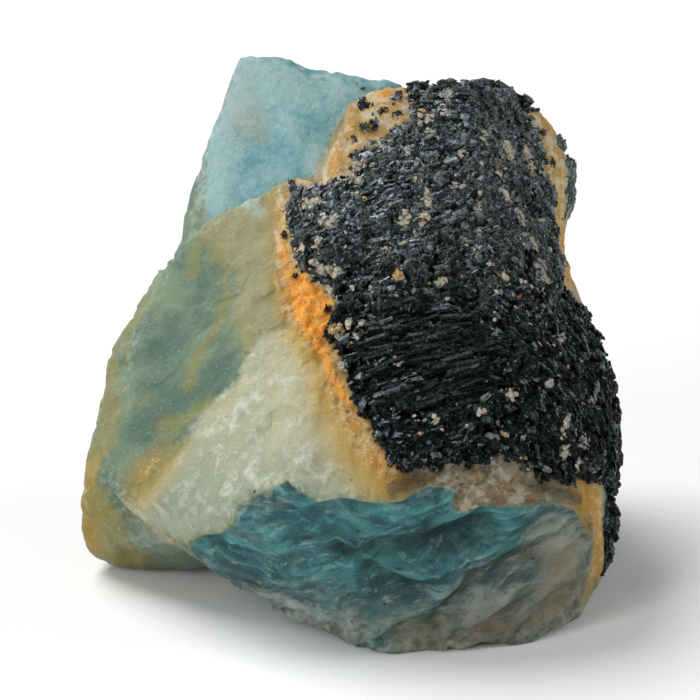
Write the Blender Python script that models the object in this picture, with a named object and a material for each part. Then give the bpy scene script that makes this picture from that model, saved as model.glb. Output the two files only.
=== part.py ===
"""A rough aquamarine crystal chunk with a crust of black tourmaline on its upper right side.

The chunk is a union of five blocks broken from one crystal. Each block is the convex hull of
its corners. A ball of triangles is pushed out from the middle of the stone onto the blocks, so
the stone is one closed skin, and then roughened. The tourmaline fills shallow pockets in it.

Corners and outlines that the picture shows are measured in millimetres on the picture plane
through the middle of the stone: to the right, up, and for corners how much nearer the viewer
they lie. The others are measured across, back and up from the point under that middle.
"""

import math

import bmesh
import bpy
from mathutils import Vector, noise
from mathutils.bvhtree import BVHTree

MM = 0.001

# The viewer looks along +Y and down on the stone
VIEW_TILT = math.radians(22)
VIEW_DISTANCE = 248
VIEW_HEIGHT = 18.6
RIGHT = Vector((1, 0, 0))
UP = Vector((0, math.sin(VIEW_TILT), math.cos(VIEW_TILT)))
NEAR = Vector((0, -math.cos(VIEW_TILT), math.sin(VIEW_TILT)))
PICTURE_MIDDLE = Vector((0, 0, VIEW_HEIGHT))

# From the frame of the measures to the middle of the stone's own width and depth
CENTRING = Vector((-0.1, -0.9, 0))

# The point that every block holds, from which the skin is pushed out
HEART = Vector((0.5, 1.0, 16.0))

BODY_SEEN = [
    # edge between the cream face and the teal face
    (-9.7, -14.5, 12.5), (-5.4, -11.3, 14.5), (4.2, -12.5, 15.5), (11.1, -11.1, 15), (17.9, -11.7, 12),
    (21.2, -11.6, 8.5),
    # foot of the teal face
    (-8.7, -20.1, 3.8), (-7, -22.2, 6.3), (-4.7, -23.2, 7.6), (3.2, -25.3, 11.2), (12.8, -24.8, 10.4),
    (19.1, -23.5, 8.2), (20.4, -21.2, 6), (21.6, -18.7, 3),
    # left edge of the cream face
    (-21.5, -10.7, 2), (-18.4, -13.9, 4.5), (-19.5, -3, -2), (-18.4, 1.7, -3), (-14.6, 8.8, -4.5),
    # top edge of the cream face
    (-11.3, 11.3, -3), (-7.3, 12.4, -1.3), (-5.1, 14.1, -0.5), (-2.2, 14.2, 1.2),
    # bed of the crust and the right flank
    (6.8, 4.2, 8.8), (12.8, 4.2, 7.5), (11.1, -4.2, 13), (17.4, -4.2, 10), (20, -4.2, 5), (17.9, 9.3, -7),
    (19, 5.1, -6), (20.7, 0.9, -6), (21.8, -1.9, -5), (21.8, -6, -4), (22, -12.8, -2), (21.8, -17, -1),
]
BODY_HIDDEN = [
    (-14, 11, 4), (-17, 8, 12), (-13, 14, 18), (4, 18, 20), (17, 15, 18), (18, 13, 8), (13, 13, 2),
    (-5, 14, 2.5), (2, 18.5, 12),
    # rest, which the flat cut then trims
    (-4, -8, -0.4), (-7, 1, -0.4), (-3, 6.5, -0.4), (6, 7, -0.4), (11, 1, -0.4), (10, -8, -0.4),
    (3, -10, -0.4),
]
DOME_SEEN = [
    (-2.4, 14.1, 0.5), (-1.1, 17.9, -0.5), (-0.1, 21, -2.5), (3.3, 22.3, -4.5), (6.4, 22.3, -5),
    (8.5, 22.4, -5.5), (12.6, 21.7, -7), (14.9, 20.2, -9), (10.2, 19.6, -2), (6.8, 4.2, 8.8),
    (12.8, 4.2, 7.5), (16.6, 4.2, 3.5), (16.6, 11.9, -3.5), (-0.9, 5.1, 7.5), (18.3, 5.1, -5),
    (11.1, -4.2, 13), (4.2, -11.1, 14), (16.2, -10.2, 12), (-1.7, -11.1, 12),
]
DOME_HIDDEN = [(2, 18, 31), (11, 16.5, 30), (16, 14, 22), (8, 14, 8), (-4, 16, 26), (-8, 8, 10), (0, -6, 6)]
UPPER_SEEN = [
    (-8.5, 25.2, -9), (-9.5, 24.5, -9.5), (-10.8, 21.3, -9), (-12.5, 14.5, -6.5), (-14.6, 8.8, -5),
    (-6, 24.5, -9), (-0.9, 23, -8), (4.2, 22.7, -8), (-2.5, 14, -1.5), (-7.3, 12.2, -3), (-0.4, 20.8, -5),
    (4.2, -10.2, 6), (-4.2, -10.2, 6), (17.9, 4.2, -6),
]
UPPER_HIDDEN = [
    (-9, 20, 36), (-3, 21, 30), (-14, 16, 24), (-16, 13, 14), (4, 18, 12), (-5, 14, 4), (10, 8, 4),
]
LEFT_SEEN = [
    (-23, -13, 0), (-22.6, -10.9, 0), (-21.8, -7, -1), (-21.2, -4.9, -2), (-20.3, -3.2, -3),
    (-20.4, -1, -4), (-19, 1.9, -4.5), (-16.2, 7.1, -5), (-22.8, -15.3, -0.5), (-22.1, -17.3, -2),
    (-21, -17.9, -3), (-17.9, -18.6, -3), (-13.2, -18.5, -1), (-21.5, -10.8, 1.5), (-18.4, -14.1, 4),
    (-15.3, -16.2, 6),
]
LEFT_HIDDEN = [
    (-18, 10, 3), (-19, 8, 10), (-10, 12, 2.5), (-16, 10, 18), (8, 8, 6), (12, 0, 16), (8, -8, 10),
    (0, 0, 26),
]
RIGHT_SEEN = [
    (15.9, 20.2, -9), (17.2, 19, -10), (18.1, 17.7, -10.5), (18.8, 15.5, -11), (18.9, 13.2, -11),
    (18.4, 11.1, -10.5), (17.9, 9.4, -10), (16.2, 17, -6), (17.2, 11.9, -5.5), (17.9, 6.8, -5),
    (11.1, 18.7, -5), (8.5, -12.8, 4), (-1.7, 8.5, 0),
]
RIGHT_HIDDEN = [(14, 17, 32), (17, 16, 26), (16, 16, 16), (8, 14, 10), (-6, 8, 12), (-6, -4, 22)]

BLOCKS = [
    (BODY_SEEN, BODY_HIDDEN),
    (DOME_SEEN, DOME_HIDDEN),
    (UPPER_SEEN, UPPER_HIDDEN),
    (LEFT_SEEN, LEFT_HIDDEN),
    (RIGHT_SEEN, RIGHT_HIDDEN),
]

# Outlines of the tourmaline. The seen points lie on the skin, the hidden ones only give a direction
CRUST_SEEN = [
    (6.2, 21.9), (5, 20.5), (3.9, 19), (2, 18.3), (0.2, 16.9), (0, 15.6), (-0.9, 14.3), (-2.1, 13.7),
    (-5.1, 13.4), (-5.4, 10.8), (-4.8, 8.2), (-4.3, 6.6), (-2.7, 5.5), (-1, 4.3), (-1.7, 2.5), (-2.1, 1.3),
    (-0.4, -2.1), (0.2, -4.3), (2.1, -7.7), (4.3, -10.4), (7.7, -10.1), (11.1, -10.4), (11.9, -8.8),
    (14.5, -10.2), (16.7, -11.2), (18.4, -11.7), (20.6, -11.6),
]
CRUST_HIDDEN_FLANK = [(21.5, -5, 8), (21.5, 0, 11), (21, 3, 16), (20, 4.5, 20)]
CRUST_SEEN_RIGHT = [(18.4, 5.4), (17.4, 9.4), (17.1, 12.8), (16.6, 16.8), (15.5, 19.4)]
CRUST_HIDDEN_TOP = [(14.5, 18, 33), (8.5, 19.5, 34), (5, 19, 35)]
TONGUE_SEEN = [(21, -7.7), (21, -10.2), (21.7, -12.1), (21.5, -14.2), (21.3, -17.8), (20.8, -19.8)]
TONGUE_HIDDEN = [(21, -7, 2.5), (21.5, -3, 5), (21.5, 0, 10), (21.5, -1, 14)]
SLIVER_SEEN = [(17.5, 18.1), (17.9, 15.7), (18.1, 13.2), (18.2, 11.2)]
SLIVER_HIDDEN = [(18.3, 15, 23.5), (18.5, 16, 28), (17, 17, 32)]

# How deep the pockets reach, as a share of the way out to the skin
POCKET_FLOOR = 0.86
TONGUE_POCKET_FLOOR = 0.865
TOURMALINE_FLOOR = 0.88
# The clear space between a piece of tourmaline and its pocket
GAP = 0.3
# How far the tourmaline stands out of the stone
CRUST_PROUD = 1.0
SLIVER_PROUD = 0.4

# The wedges that cut the pockets out: how far they reach, where their width counts, and how sharp a
# corner may get before its tip is cut short
WEDGE_REACH = 60
WEDGE_RADIUS = 20
SHARPEST_MITRE = 0.2

# Roughness of the broken skin: heights in millimetres, waves over the ball, and where each pattern starts
SWELL_HEIGHT, SWELL_WAVES, SWELL_START = 0.35, 4, Vector((3.1, 0, 7.7))
CHIP_HEIGHT, CHIP_WAVES, CHIP_START = 0.2, 13, Vector((0, 5.3, 1.9))
GRAIN_HEIGHT, GRAIN_WAVES, GRAIN_START = 0.3, 17, Vector((9.2, 4.4, 0.6))
# Directions that point down more steeply than this meet the rest, where the roughness fades out
REST_STEEPNESS = 0.55
REST_FADE = 0.2

SKIN_SPLITS = 5
FLOOR_SPLITS = 3

BERYL_COLOUR, BERYL_ROUGHNESS = (0.42, 0.55, 0.48, 1), 0.45
TOURMALINE_COLOUR, TOURMALINE_ROUGHNESS = (0.02, 0.025, 0.028, 1), 0.35


def from_picture(right, up, near):
    """The place of a point measured on the picture, drawn together as it comes nearer the viewer."""
    shrink = 1 - near / VIEW_DISTANCE
    return PICTURE_MIDDLE + RIGHT * right * shrink + UP * up * shrink + NEAR * near


def placed(point):
    """A measured point in metres, in the frame that is centred on the stone."""
    return (point + CENTRING) * MM


def hull_tree(corners):
    """A search tree of the convex hull of the corners."""
    hull = bmesh.new()
    for corner in corners:
        hull.verts.new(corner)
    made = bmesh.ops.convex_hull(hull, input=hull.verts)
    unused = [item for item in made["geom_interior"] if isinstance(item, bmesh.types.BMVert)]
    bmesh.ops.delete(hull, geom=unused, context="VERTS")
    tree = BVHTree.FromBMesh(hull)
    hull.free()
    return tree


def stone_blocks():
    """Search trees of the blocks that the stone is made of."""
    trees = []
    for seen, hidden in BLOCKS:
        corners = [from_picture(*corner) for corner in seen] + [Vector(corner) for corner in hidden]
        trees.append(hull_tree(corners))
    return trees


def reach(blocks, direction):
    """How far the skin is from the heart along a direction: the farthest block counts."""
    return max(block.ray_cast(HEART, direction)[3] for block in blocks)


def on_skin(blocks, right, up):
    """Where the line of sight through a point of the picture first meets a block."""
    eye = from_picture(0, 0, VIEW_DISTANCE)
    sight = (from_picture(right, up, 0) - eye).normalized()
    hits = [block.ray_cast(eye, sight) for block in blocks]
    met = [hit for hit in hits if hit[0]]
    if not met:
        raise ValueError(f"the line of sight through {right}, {up} misses the stone")
    return min(met, key=lambda hit: hit[3])[0]


def stone_roughness(direction):
    """Height of the broken skin over its flat facets: long swells and short chips, none at the rest."""
    swell = SWELL_HEIGHT * noise.noise(direction * SWELL_WAVES + SWELL_START)
    chip = CHIP_HEIGHT * noise.noise(direction * CHIP_WAVES + CHIP_START)
    clear_of_rest = min(max((direction.z + REST_STEEPNESS) / REST_FADE, 0), 1)
    return (swell + chip) * clear_of_rest


def crust_roughness(direction):
    """Height of the grainy tourmaline over its sheet."""
    return GRAIN_HEIGHT * noise.noise(direction * GRAIN_WAVES + GRAIN_START)


def make_object(name, shape, material=None):
    mesh = bpy.data.meshes.new(name)
    shape.to_mesh(mesh)
    shape.free()
    if material:
        mesh.materials.append(material)
    piece = bpy.data.objects.new(name, mesh)
    bpy.context.collection.objects.link(piece)
    return piece


def make_cutter(name, shape):
    piece = make_object(name, shape)
    piece.hide_render = True
    piece.display_type = "WIRE"
    return piece


def ball(splits, distance):
    """A ball of triangles with each point pushed out from the heart by distance(direction)."""
    shape = bmesh.new()
    bmesh.ops.create_icosphere(shape, subdivisions=splits, radius=1)
    for vert in shape.verts:
        direction = vert.co.normalized()
        vert.co = placed(HEART + direction * distance(direction))
    bmesh.ops.recalc_face_normals(shape, faces=shape.faces)
    return shape


def cone(ring, spread):
    """A closed wedge from the heart out through a ring of points, widened sideways by spread."""
    rays = [(point - HEART).normalized() for point in ring]
    middle = sum(rays, Vector()).normalized()
    turn = sum(rays[i - 1].cross(ray).dot(middle) for i, ray in enumerate(rays))
    side = spread if turn > 0 else -spread
    widened = []
    for i, ray in enumerate(rays):
        before = (ray - rays[i - 1]).cross(ray).normalized()
        after = (rays[(i + 1) % len(rays)] - ray).cross(ray).normalized()
        mitre = (before + after) / max(1 + before.dot(after), SHARPEST_MITRE)
        widened.append(ray * WEDGE_RADIUS + mitre * side)
    shape = bmesh.new()
    apex = shape.verts.new(placed(HEART))
    cap = shape.verts.new(placed(HEART + middle * WEDGE_REACH))
    rim = [shape.verts.new(placed(HEART + ray.normalized() * WEDGE_REACH)) for ray in widened]
    for i, vert in enumerate(rim):
        shape.faces.new((apex, rim[i - 1], vert))
        shape.faces.new((cap, vert, rim[i - 1]))
    bmesh.ops.recalc_face_normals(shape, faces=shape.faces)
    return shape


def add_boolean(piece, cutter, operation):
    boolean = piece.modifiers.new(f"{operation.lower()} {cutter.name}", "BOOLEAN")
    boolean.object = cutter
    boolean.operation = operation
    boolean.solver = "EXACT"


def cut_rest(shape):
    """Cuts the foot of the stone off flat at the height it rests on."""
    cut = bmesh.ops.bisect_plane(
        shape,
        geom=shape.verts[:] + shape.edges[:] + shape.faces[:],
        plane_co=(0, 0, 0),
        plane_no=(0, 0, 1),
        clear_inner=True,
    )
    rim = [item for item in cut["geom_cut"] if isinstance(item, bmesh.types.BMEdge)]
    bmesh.ops.contextual_create(shape, geom=rim)
    bmesh.ops.recalc_face_normals(shape, faces=shape.faces)


def make_material(name, colour, roughness):
    material = bpy.data.materials.new(name)
    material.use_nodes = True
    shader = material.node_tree.nodes["Principled BSDF"]
    shader.inputs["Base Color"].default_value = colour
    shader.inputs["Roughness"].default_value = roughness
    shader.inputs["Metallic"].default_value = 0
    return material


def make_core(name, share, blocks):
    """The inside of the stone, up to a share of the way out to its skin."""
    core = ball(FLOOR_SPLITS, lambda direction: reach(blocks, direction) * share)
    return make_cutter(f"{name}_core", core)


def tourmaline(name, outline, extra, proud, blocks, material):
    """A piece of tourmaline inside one outline, with an extra outline joined to it if there is one."""

    def top(direction):
        return reach(blocks, direction) + proud + crust_roughness(direction)

    piece = make_object(name, ball(SKIN_SPLITS, top), material)
    wedge = make_cutter(f"{name}_wedge", cone(outline, 0))
    if extra:
        add_boolean(wedge, make_cutter(f"{name}_extra_wedge", cone(extra, 0)), "UNION")
    add_boolean(piece, wedge, "INTERSECT")
    add_boolean(piece, make_core(name, TOURMALINE_FLOOR, blocks), "DIFFERENCE")
    return piece


def cut_pocket(stone, name, outline, floor, blocks):
    """Cuts the hollow that a piece of tourmaline sits in, a gap wider than the piece all round."""
    hollow = make_cutter(name, cone(outline, GAP))
    add_boolean(hollow, make_core(name, floor, blocks), "DIFFERENCE")
    add_boolean(stone, hollow, "DIFFERENCE")


def main():
    for item in list(bpy.data.objects):
        bpy.data.objects.remove(item)
    blocks = stone_blocks()

    def seen(points):
        return [on_skin(blocks, *point) for point in points]

    def hidden(points):
        return [Vector(point) for point in points]

    crust = seen(CRUST_SEEN) + hidden(CRUST_HIDDEN_FLANK)
    crust += seen(CRUST_SEEN_RIGHT) + hidden(CRUST_HIDDEN_TOP)
    tongue = seen(TONGUE_SEEN) + hidden(TONGUE_HIDDEN)
    sliver = seen(SLIVER_SEEN) + hidden(SLIVER_HIDDEN)

    stone_skin = ball(
        SKIN_SPLITS,
        lambda direction: reach(blocks, direction) + stone_roughness(direction),
    )
    cut_rest(stone_skin)
    beryl = make_material("beryl", BERYL_COLOUR, BERYL_ROUGHNESS)
    stone = make_object("aquamarine", stone_skin, beryl)
    cut_pocket(stone, "crust_pocket", crust, POCKET_FLOOR, blocks)
    cut_pocket(stone, "tongue_pocket", tongue, TONGUE_POCKET_FLOOR, blocks)
    cut_pocket(stone, "sliver_pocket", sliver, POCKET_FLOOR, blocks)

    schorl = make_material("black tourmaline", TOURMALINE_COLOUR, TOURMALINE_ROUGHNESS)
    tourmaline("tourmaline_crust", crust, tongue, CRUST_PROUD, blocks, schorl)
    tourmaline("tourmaline_sliver", sliver, None, SLIVER_PROUD, blocks, schorl)


main()
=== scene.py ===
"""Looks of a rough aquamarine with a crust of black tourmaline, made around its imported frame.

Lengths are in millimetres until to_metres() places them in the scene. A point is written in one of
two ways. (right, up) is measured on the picture plane through the middle of the stone, and lies on the
skin that the viewer sees there. (across, back, up) is measured from the floor, and only gives a
direction from the heart of the stone. The stone is a skin pushed out from that heart, and every shape
on it is a function of the direction.
"""

import itertools
import logging
import math
from collections.abc import Sequence
from dataclasses import dataclass, field
from enum import Enum

import bmesh
import bpy
import numpy as np
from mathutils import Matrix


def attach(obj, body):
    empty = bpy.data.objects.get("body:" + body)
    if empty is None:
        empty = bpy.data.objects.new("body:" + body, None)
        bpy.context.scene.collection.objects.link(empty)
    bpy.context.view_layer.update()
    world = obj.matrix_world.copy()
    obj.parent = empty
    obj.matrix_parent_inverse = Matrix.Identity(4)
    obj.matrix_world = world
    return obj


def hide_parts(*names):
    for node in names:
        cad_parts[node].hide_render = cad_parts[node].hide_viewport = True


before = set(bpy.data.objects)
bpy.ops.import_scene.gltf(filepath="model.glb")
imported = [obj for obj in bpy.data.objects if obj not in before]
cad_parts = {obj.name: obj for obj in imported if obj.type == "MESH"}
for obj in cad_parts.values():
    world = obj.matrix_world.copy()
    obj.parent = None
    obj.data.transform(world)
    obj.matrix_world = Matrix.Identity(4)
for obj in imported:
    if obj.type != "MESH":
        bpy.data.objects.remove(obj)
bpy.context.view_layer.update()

LOG = logging.getLogger("aquamarine")
Array = np.ndarray
Piece = bpy.types.Object
Material = bpy.types.Material
Socket = bpy.types.NodeSocket
MM = 0.001

# The viewer looks along +Y and down on the stone
VIEW_TILT = math.radians(22)
VIEW_DISTANCE = 248.0
RIGHT = np.array([1.0, 0.0, 0.0])
UP = np.array([0.0, math.sin(VIEW_TILT), math.cos(VIEW_TILT)])
NEAR = np.array([0.0, -math.cos(VIEW_TILT), math.sin(VIEW_TILT)])
PICTURE_MIDDLE = np.array([0.0, 0.0, 18.6])
LENS, SENSOR = 150.0, 36.0

# From the frame of the measures to the middle of the stone's own width and depth
CENTRING = np.array([-0.1, -0.9, 0.0])
# The point that every block holds, from which the skin is pushed out
HEART = np.array([0.5, 1.0, 16.0])
# Where flat maps of the skin have their true scale
MAP_RADIUS = 20.0
# Keeps divisions off zero
TINY = 1e-9

BODY_SEEN = [
    (-9.7, -14.5, 12.5), (-5.4, -11.3, 14.5), (4.2, -12.5, 15.5), (11.1, -11.1, 15), (17.9, -11.7, 12),
    (21.2, -11.6, 8.5), (-8.7, -20.1, 3.8), (-7, -22.2, 6.3), (-4.7, -23.2, 7.6), (3.2, -25.3, 11.2),
    (12.8, -24.8, 10.4), (19.1, -23.5, 8.2), (20.4, -21.2, 6), (21.6, -18.7, 3), (-21.5, -10.7, 2),
    (-18.4, -13.9, 4.5), (-19.5, -3, -2), (-18.4, 1.7, -3), (-14.6, 8.8, -4.5), (-11.3, 11.3, -3),
    (-7.3, 12.4, -1.3), (-5.1, 14.1, -0.5), (-2.2, 14.2, 1.2), (6.8, 4.2, 8.8), (12.8, 4.2, 7.5),
    (11.1, -4.2, 13), (17.4, -4.2, 10), (20, -4.2, 5), (17.9, 9.3, -7), (19, 5.1, -6), (20.7, 0.9, -6),
    (21.8, -1.9, -5), (21.8, -6, -4), (22, -12.8, -2), (21.8, -17, -1),
]
BODY_HIDDEN = [
    (-14, 11, 4), (-17, 8, 12), (-13, 14, 18), (4, 18, 20), (17, 15, 18), (18, 13, 8), (13, 13, 2),
    (-5, 14, 2.5), (2, 18.5, 12), (-4, -8, -0.4), (-7, 1, -0.4), (-3, 6.5, -0.4), (6, 7, -0.4),
    (11, 1, -0.4), (10, -8, -0.4), (3, -10, -0.4),
]
DOME_SEEN = [
    (-2.4, 14.1, 0.5), (-1.1, 17.9, -0.5), (-0.1, 21, -2.5), (3.3, 22.3, -4.5), (6.4, 22.3, -5),
    (8.5, 22.4, -5.5), (12.6, 21.7, -7), (14.9, 20.2, -9), (10.2, 19.6, -2), (6.8, 4.2, 8.8),
    (12.8, 4.2, 7.5), (16.6, 4.2, 3.5), (16.6, 11.9, -3.5), (-0.9, 5.1, 7.5), (18.3, 5.1, -5),
    (11.1, -4.2, 13), (4.2, -11.1, 14), (16.2, -10.2, 12), (-1.7, -11.1, 12),
]
DOME_HIDDEN = [(2, 18, 31), (11, 16.5, 30), (16, 14, 22), (8, 14, 8), (-4, 16, 26), (-8, 8, 10), (0, -6, 6)]
UPPER_SEEN = [
    (-8.5, 25.2, -9), (-9.5, 24.5, -9.5), (-10.8, 21.3, -9), (-12.5, 14.5, -6.5), (-14.6, 8.8, -5),
    (-6, 24.5, -9), (-0.9, 23, -8), (4.2, 22.7, -8), (-2.5, 14, -1.5), (-7.3, 12.2, -3),
    (-0.4, 20.8, -5), (4.2, -10.2, 6), (-4.2, -10.2, 6), (17.9, 4.2, -6),
]
UPPER_HIDDEN = [
    (-9, 20, 36), (-3, 21, 30), (-14, 16, 24), (-16, 13, 14), (4, 18, 12), (-5, 14, 4), (10, 8, 4),
]
LEFT_SEEN = [
    (-23, -13, 0), (-22.6, -10.9, 0), (-21.8, -7, -1), (-21.2, -4.9, -2), (-20.3, -3.2, -3),
    (-20.4, -1, -4), (-19, 1.9, -4.5), (-16.2, 7.1, -5), (-22.8, -15.3, -0.5), (-22.1, -17.3, -2),
    (-21, -17.9, -3), (-17.9, -18.6, -3), (-13.2, -18.5, -1), (-21.5, -10.8, 1.5), (-18.4, -14.1, 4),
    (-15.3, -16.2, 6),
]
LEFT_HIDDEN = [
    (-18, 10, 3), (-19, 8, 10), (-10, 12, 2.5), (-16, 10, 18), (8, 8, 6), (12, 0, 16), (8, -8, 10),
    (0, 0, 26),
]
RIGHT_SEEN = [
    (15.9, 20.2, -9), (17.2, 19, -10), (18.1, 17.7, -10.5), (18.8, 15.5, -11), (18.9, 13.2, -11),
    (18.4, 11.1, -10.5), (17.9, 9.4, -10), (16.2, 17, -6), (17.2, 11.9, -5.5), (17.9, 6.8, -5),
    (11.1, 18.7, -5), (8.5, -12.8, 4), (-1.7, 8.5, 0),
]
RIGHT_HIDDEN = [(14, 17, 32), (17, 16, 26), (16, 16, 16), (8, 14, 10), (-6, 8, 12), (-6, -4, 22)]
BLOCKS = (
    (BODY_SEEN, BODY_HIDDEN), (DOME_SEEN, DOME_HIDDEN), (UPPER_SEEN, UPPER_HIDDEN),
    (LEFT_SEEN, LEFT_HIDDEN), (RIGHT_SEEN, RIGHT_HIDDEN),
)

# Outlines of the tourmaline
CRUST_OUTLINE = [
    (4.2, 22.3), (3.3, 21.9), (4, 21.4), (5.3, 21.1), (5.5, 20.2), (4.1, 19), (2.2, 18), (0.4, 17.2),
    (0.1, 16), (0.3, 15), (-0.6, 14.4), (-1.6, 13.9), (-5.1, 13.4), (-5.4, 10.8), (-4.8, 8.2),
    (-4.3, 6.6), (-2.7, 5.5), (-1, 4.3), (-1.7, 2.5), (-2.1, 1.3), (-0.4, -2.1), (0.2, -4.3),
    (2.1, -7.7), (4.3, -10.4), (7.7, -10.1), (11.1, -10.4), (11.9, -8.8), (14.5, -10.2),
    (16.7, -11.2), (18.4, -11.7), (20.6, -11.6),
    (21.5, -5, 8), (21.5, 0, 11), (21, 3, 16), (20, 4.5, 20),
    (17.8, 5.2), (17, 9.4), (16.8, 12.8), (16.3, 16.8), (15.3, 19.3),
    (14.2, 18, 33), (8.5, 19.5, 34), (5, 19, 35),
]
FLANK_OUTLINE = [
    (21, -7.7), (21, -10.2), (21.7, -12.1), (21.5, -14.2), (21.3, -17.8), (20.8, -19.8),
    (21, -7, 2.5), (21.5, -3, 5), (21.5, 0, 10), (21.5, -1, 14),
]
SLIVER_OUTLINE = [
    (17.5, 18.1), (17.9, 15.7), (18.1, 13.2), (18.2, 11.2), (18.3, 15, 23.5), (18.5, 16, 28), (17, 17, 32),
]


def unit(vectors: Array) -> Array:
    """Vectors of length one along the given ones."""
    return vectors / np.linalg.norm(vectors, axis=-1, keepdims=True)


def ease(values: Array, low: float, high: float) -> Array:
    """A smooth step from 0 at low to 1 at high, which may be the smaller of the two."""
    share = np.clip((values - low) / (high - low), 0, 1)
    return share * share * (3 - 2 * share)


def to_metres(points: Array) -> Array:
    """Measured points in metres, in the frame that is centred on the stone."""
    return (points + CENTRING) * MM


def from_picture(points: Array) -> Array:
    """Places of points measured on the picture as right, up and how much nearer the viewer.

    Args:
        points: Rows of (right, up, near).

    Returns:
        Rows of places, drawn together towards the line of sight as they come nearer.
    """
    shrink = 1 - points[:, 2:] / VIEW_DISTANCE
    sideways, upwards = points[:, :1] * shrink * RIGHT, points[:, 1:2] * shrink * UP
    return PICTURE_MIDDLE + sideways + upwards + points[:, 2:] * NEAR


def to_picture(places: Array) -> Array:
    """Rows of (right, up, near) for places, the opposite of from_picture.

    Args:
        places: Rows of places.

    Returns:
        Rows of (right, up, near).
    """
    out = places - PICTURE_MIDDLE
    near = out @ NEAR
    grow = 1 / (1 - near / VIEW_DISTANCE)
    return np.stack([out @ RIGHT * grow, out @ UP * grow, near], axis=1)


class SeededNoise:
    """Smooth gradient noise in space, between about -1 and 1, the same each time for one seed."""

    SIZE = 256
    LIFT = 1.7
    # So far apart that noises which are added up or set side by side don't look alike
    OCTAVE_SHIFT = 17.3
    DRIFT_SHIFTS = (0.0, 31.7, 63.1)

    def __init__(self, seed: int) -> None:
        """Draws a shuffled order of the cells and a slope for each.

        Args:
            seed: What the noise grows from.
        """
        draw = np.random.default_rng(seed)
        order = draw.permutation(self.SIZE)
        self.order = np.concatenate([order, order, order])
        self.slopes = unit(draw.normal(size=(self.SIZE, 3)))

    def __call__(self, places: Array) -> Array:
        """Noise at places: the slopes at the eight corners of a cell, blended by quintic shares.

        Args:
            places: Rows of places, with one wave to a unit.

        Returns:
            A number for each.
        """
        cell = np.floor(places).astype(np.int64)
        part = places - cell
        cell %= self.SIZE
        fade = part**3 * (part * (part * 6 - 15) + 10)
        total = np.zeros(len(places))
        for corner in itertools.product((0, 1), repeat=3):
            step = np.array(corner)
            row = self.order[(cell[:, 0] + step[0]) % self.SIZE]
            row = self.order[row + cell[:, 1] + step[1]]
            row = self.order[(row + cell[:, 2] + step[2]) % self.SIZE]
            share = np.prod(np.where(step, fade, 1 - fade), axis=1)
            total += share * np.einsum("ij,ij->i", self.slopes[row], part - step)
        return total * self.LIFT

    def clouds(self, places: Array, octaves: int = 4) -> Array:
        """Sum of noises, each twice as fine and half as high as the one before."""
        return sum(self(places * 2**k + self.OCTAVE_SHIFT * k) / 2**k for k in range(octaves))

    def drift(self, places: Array) -> Array:
        """A vector of three noises at each place."""
        return np.stack([self(places + shift) for shift in self.DRIFT_SHIFTS], axis=1)


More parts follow.
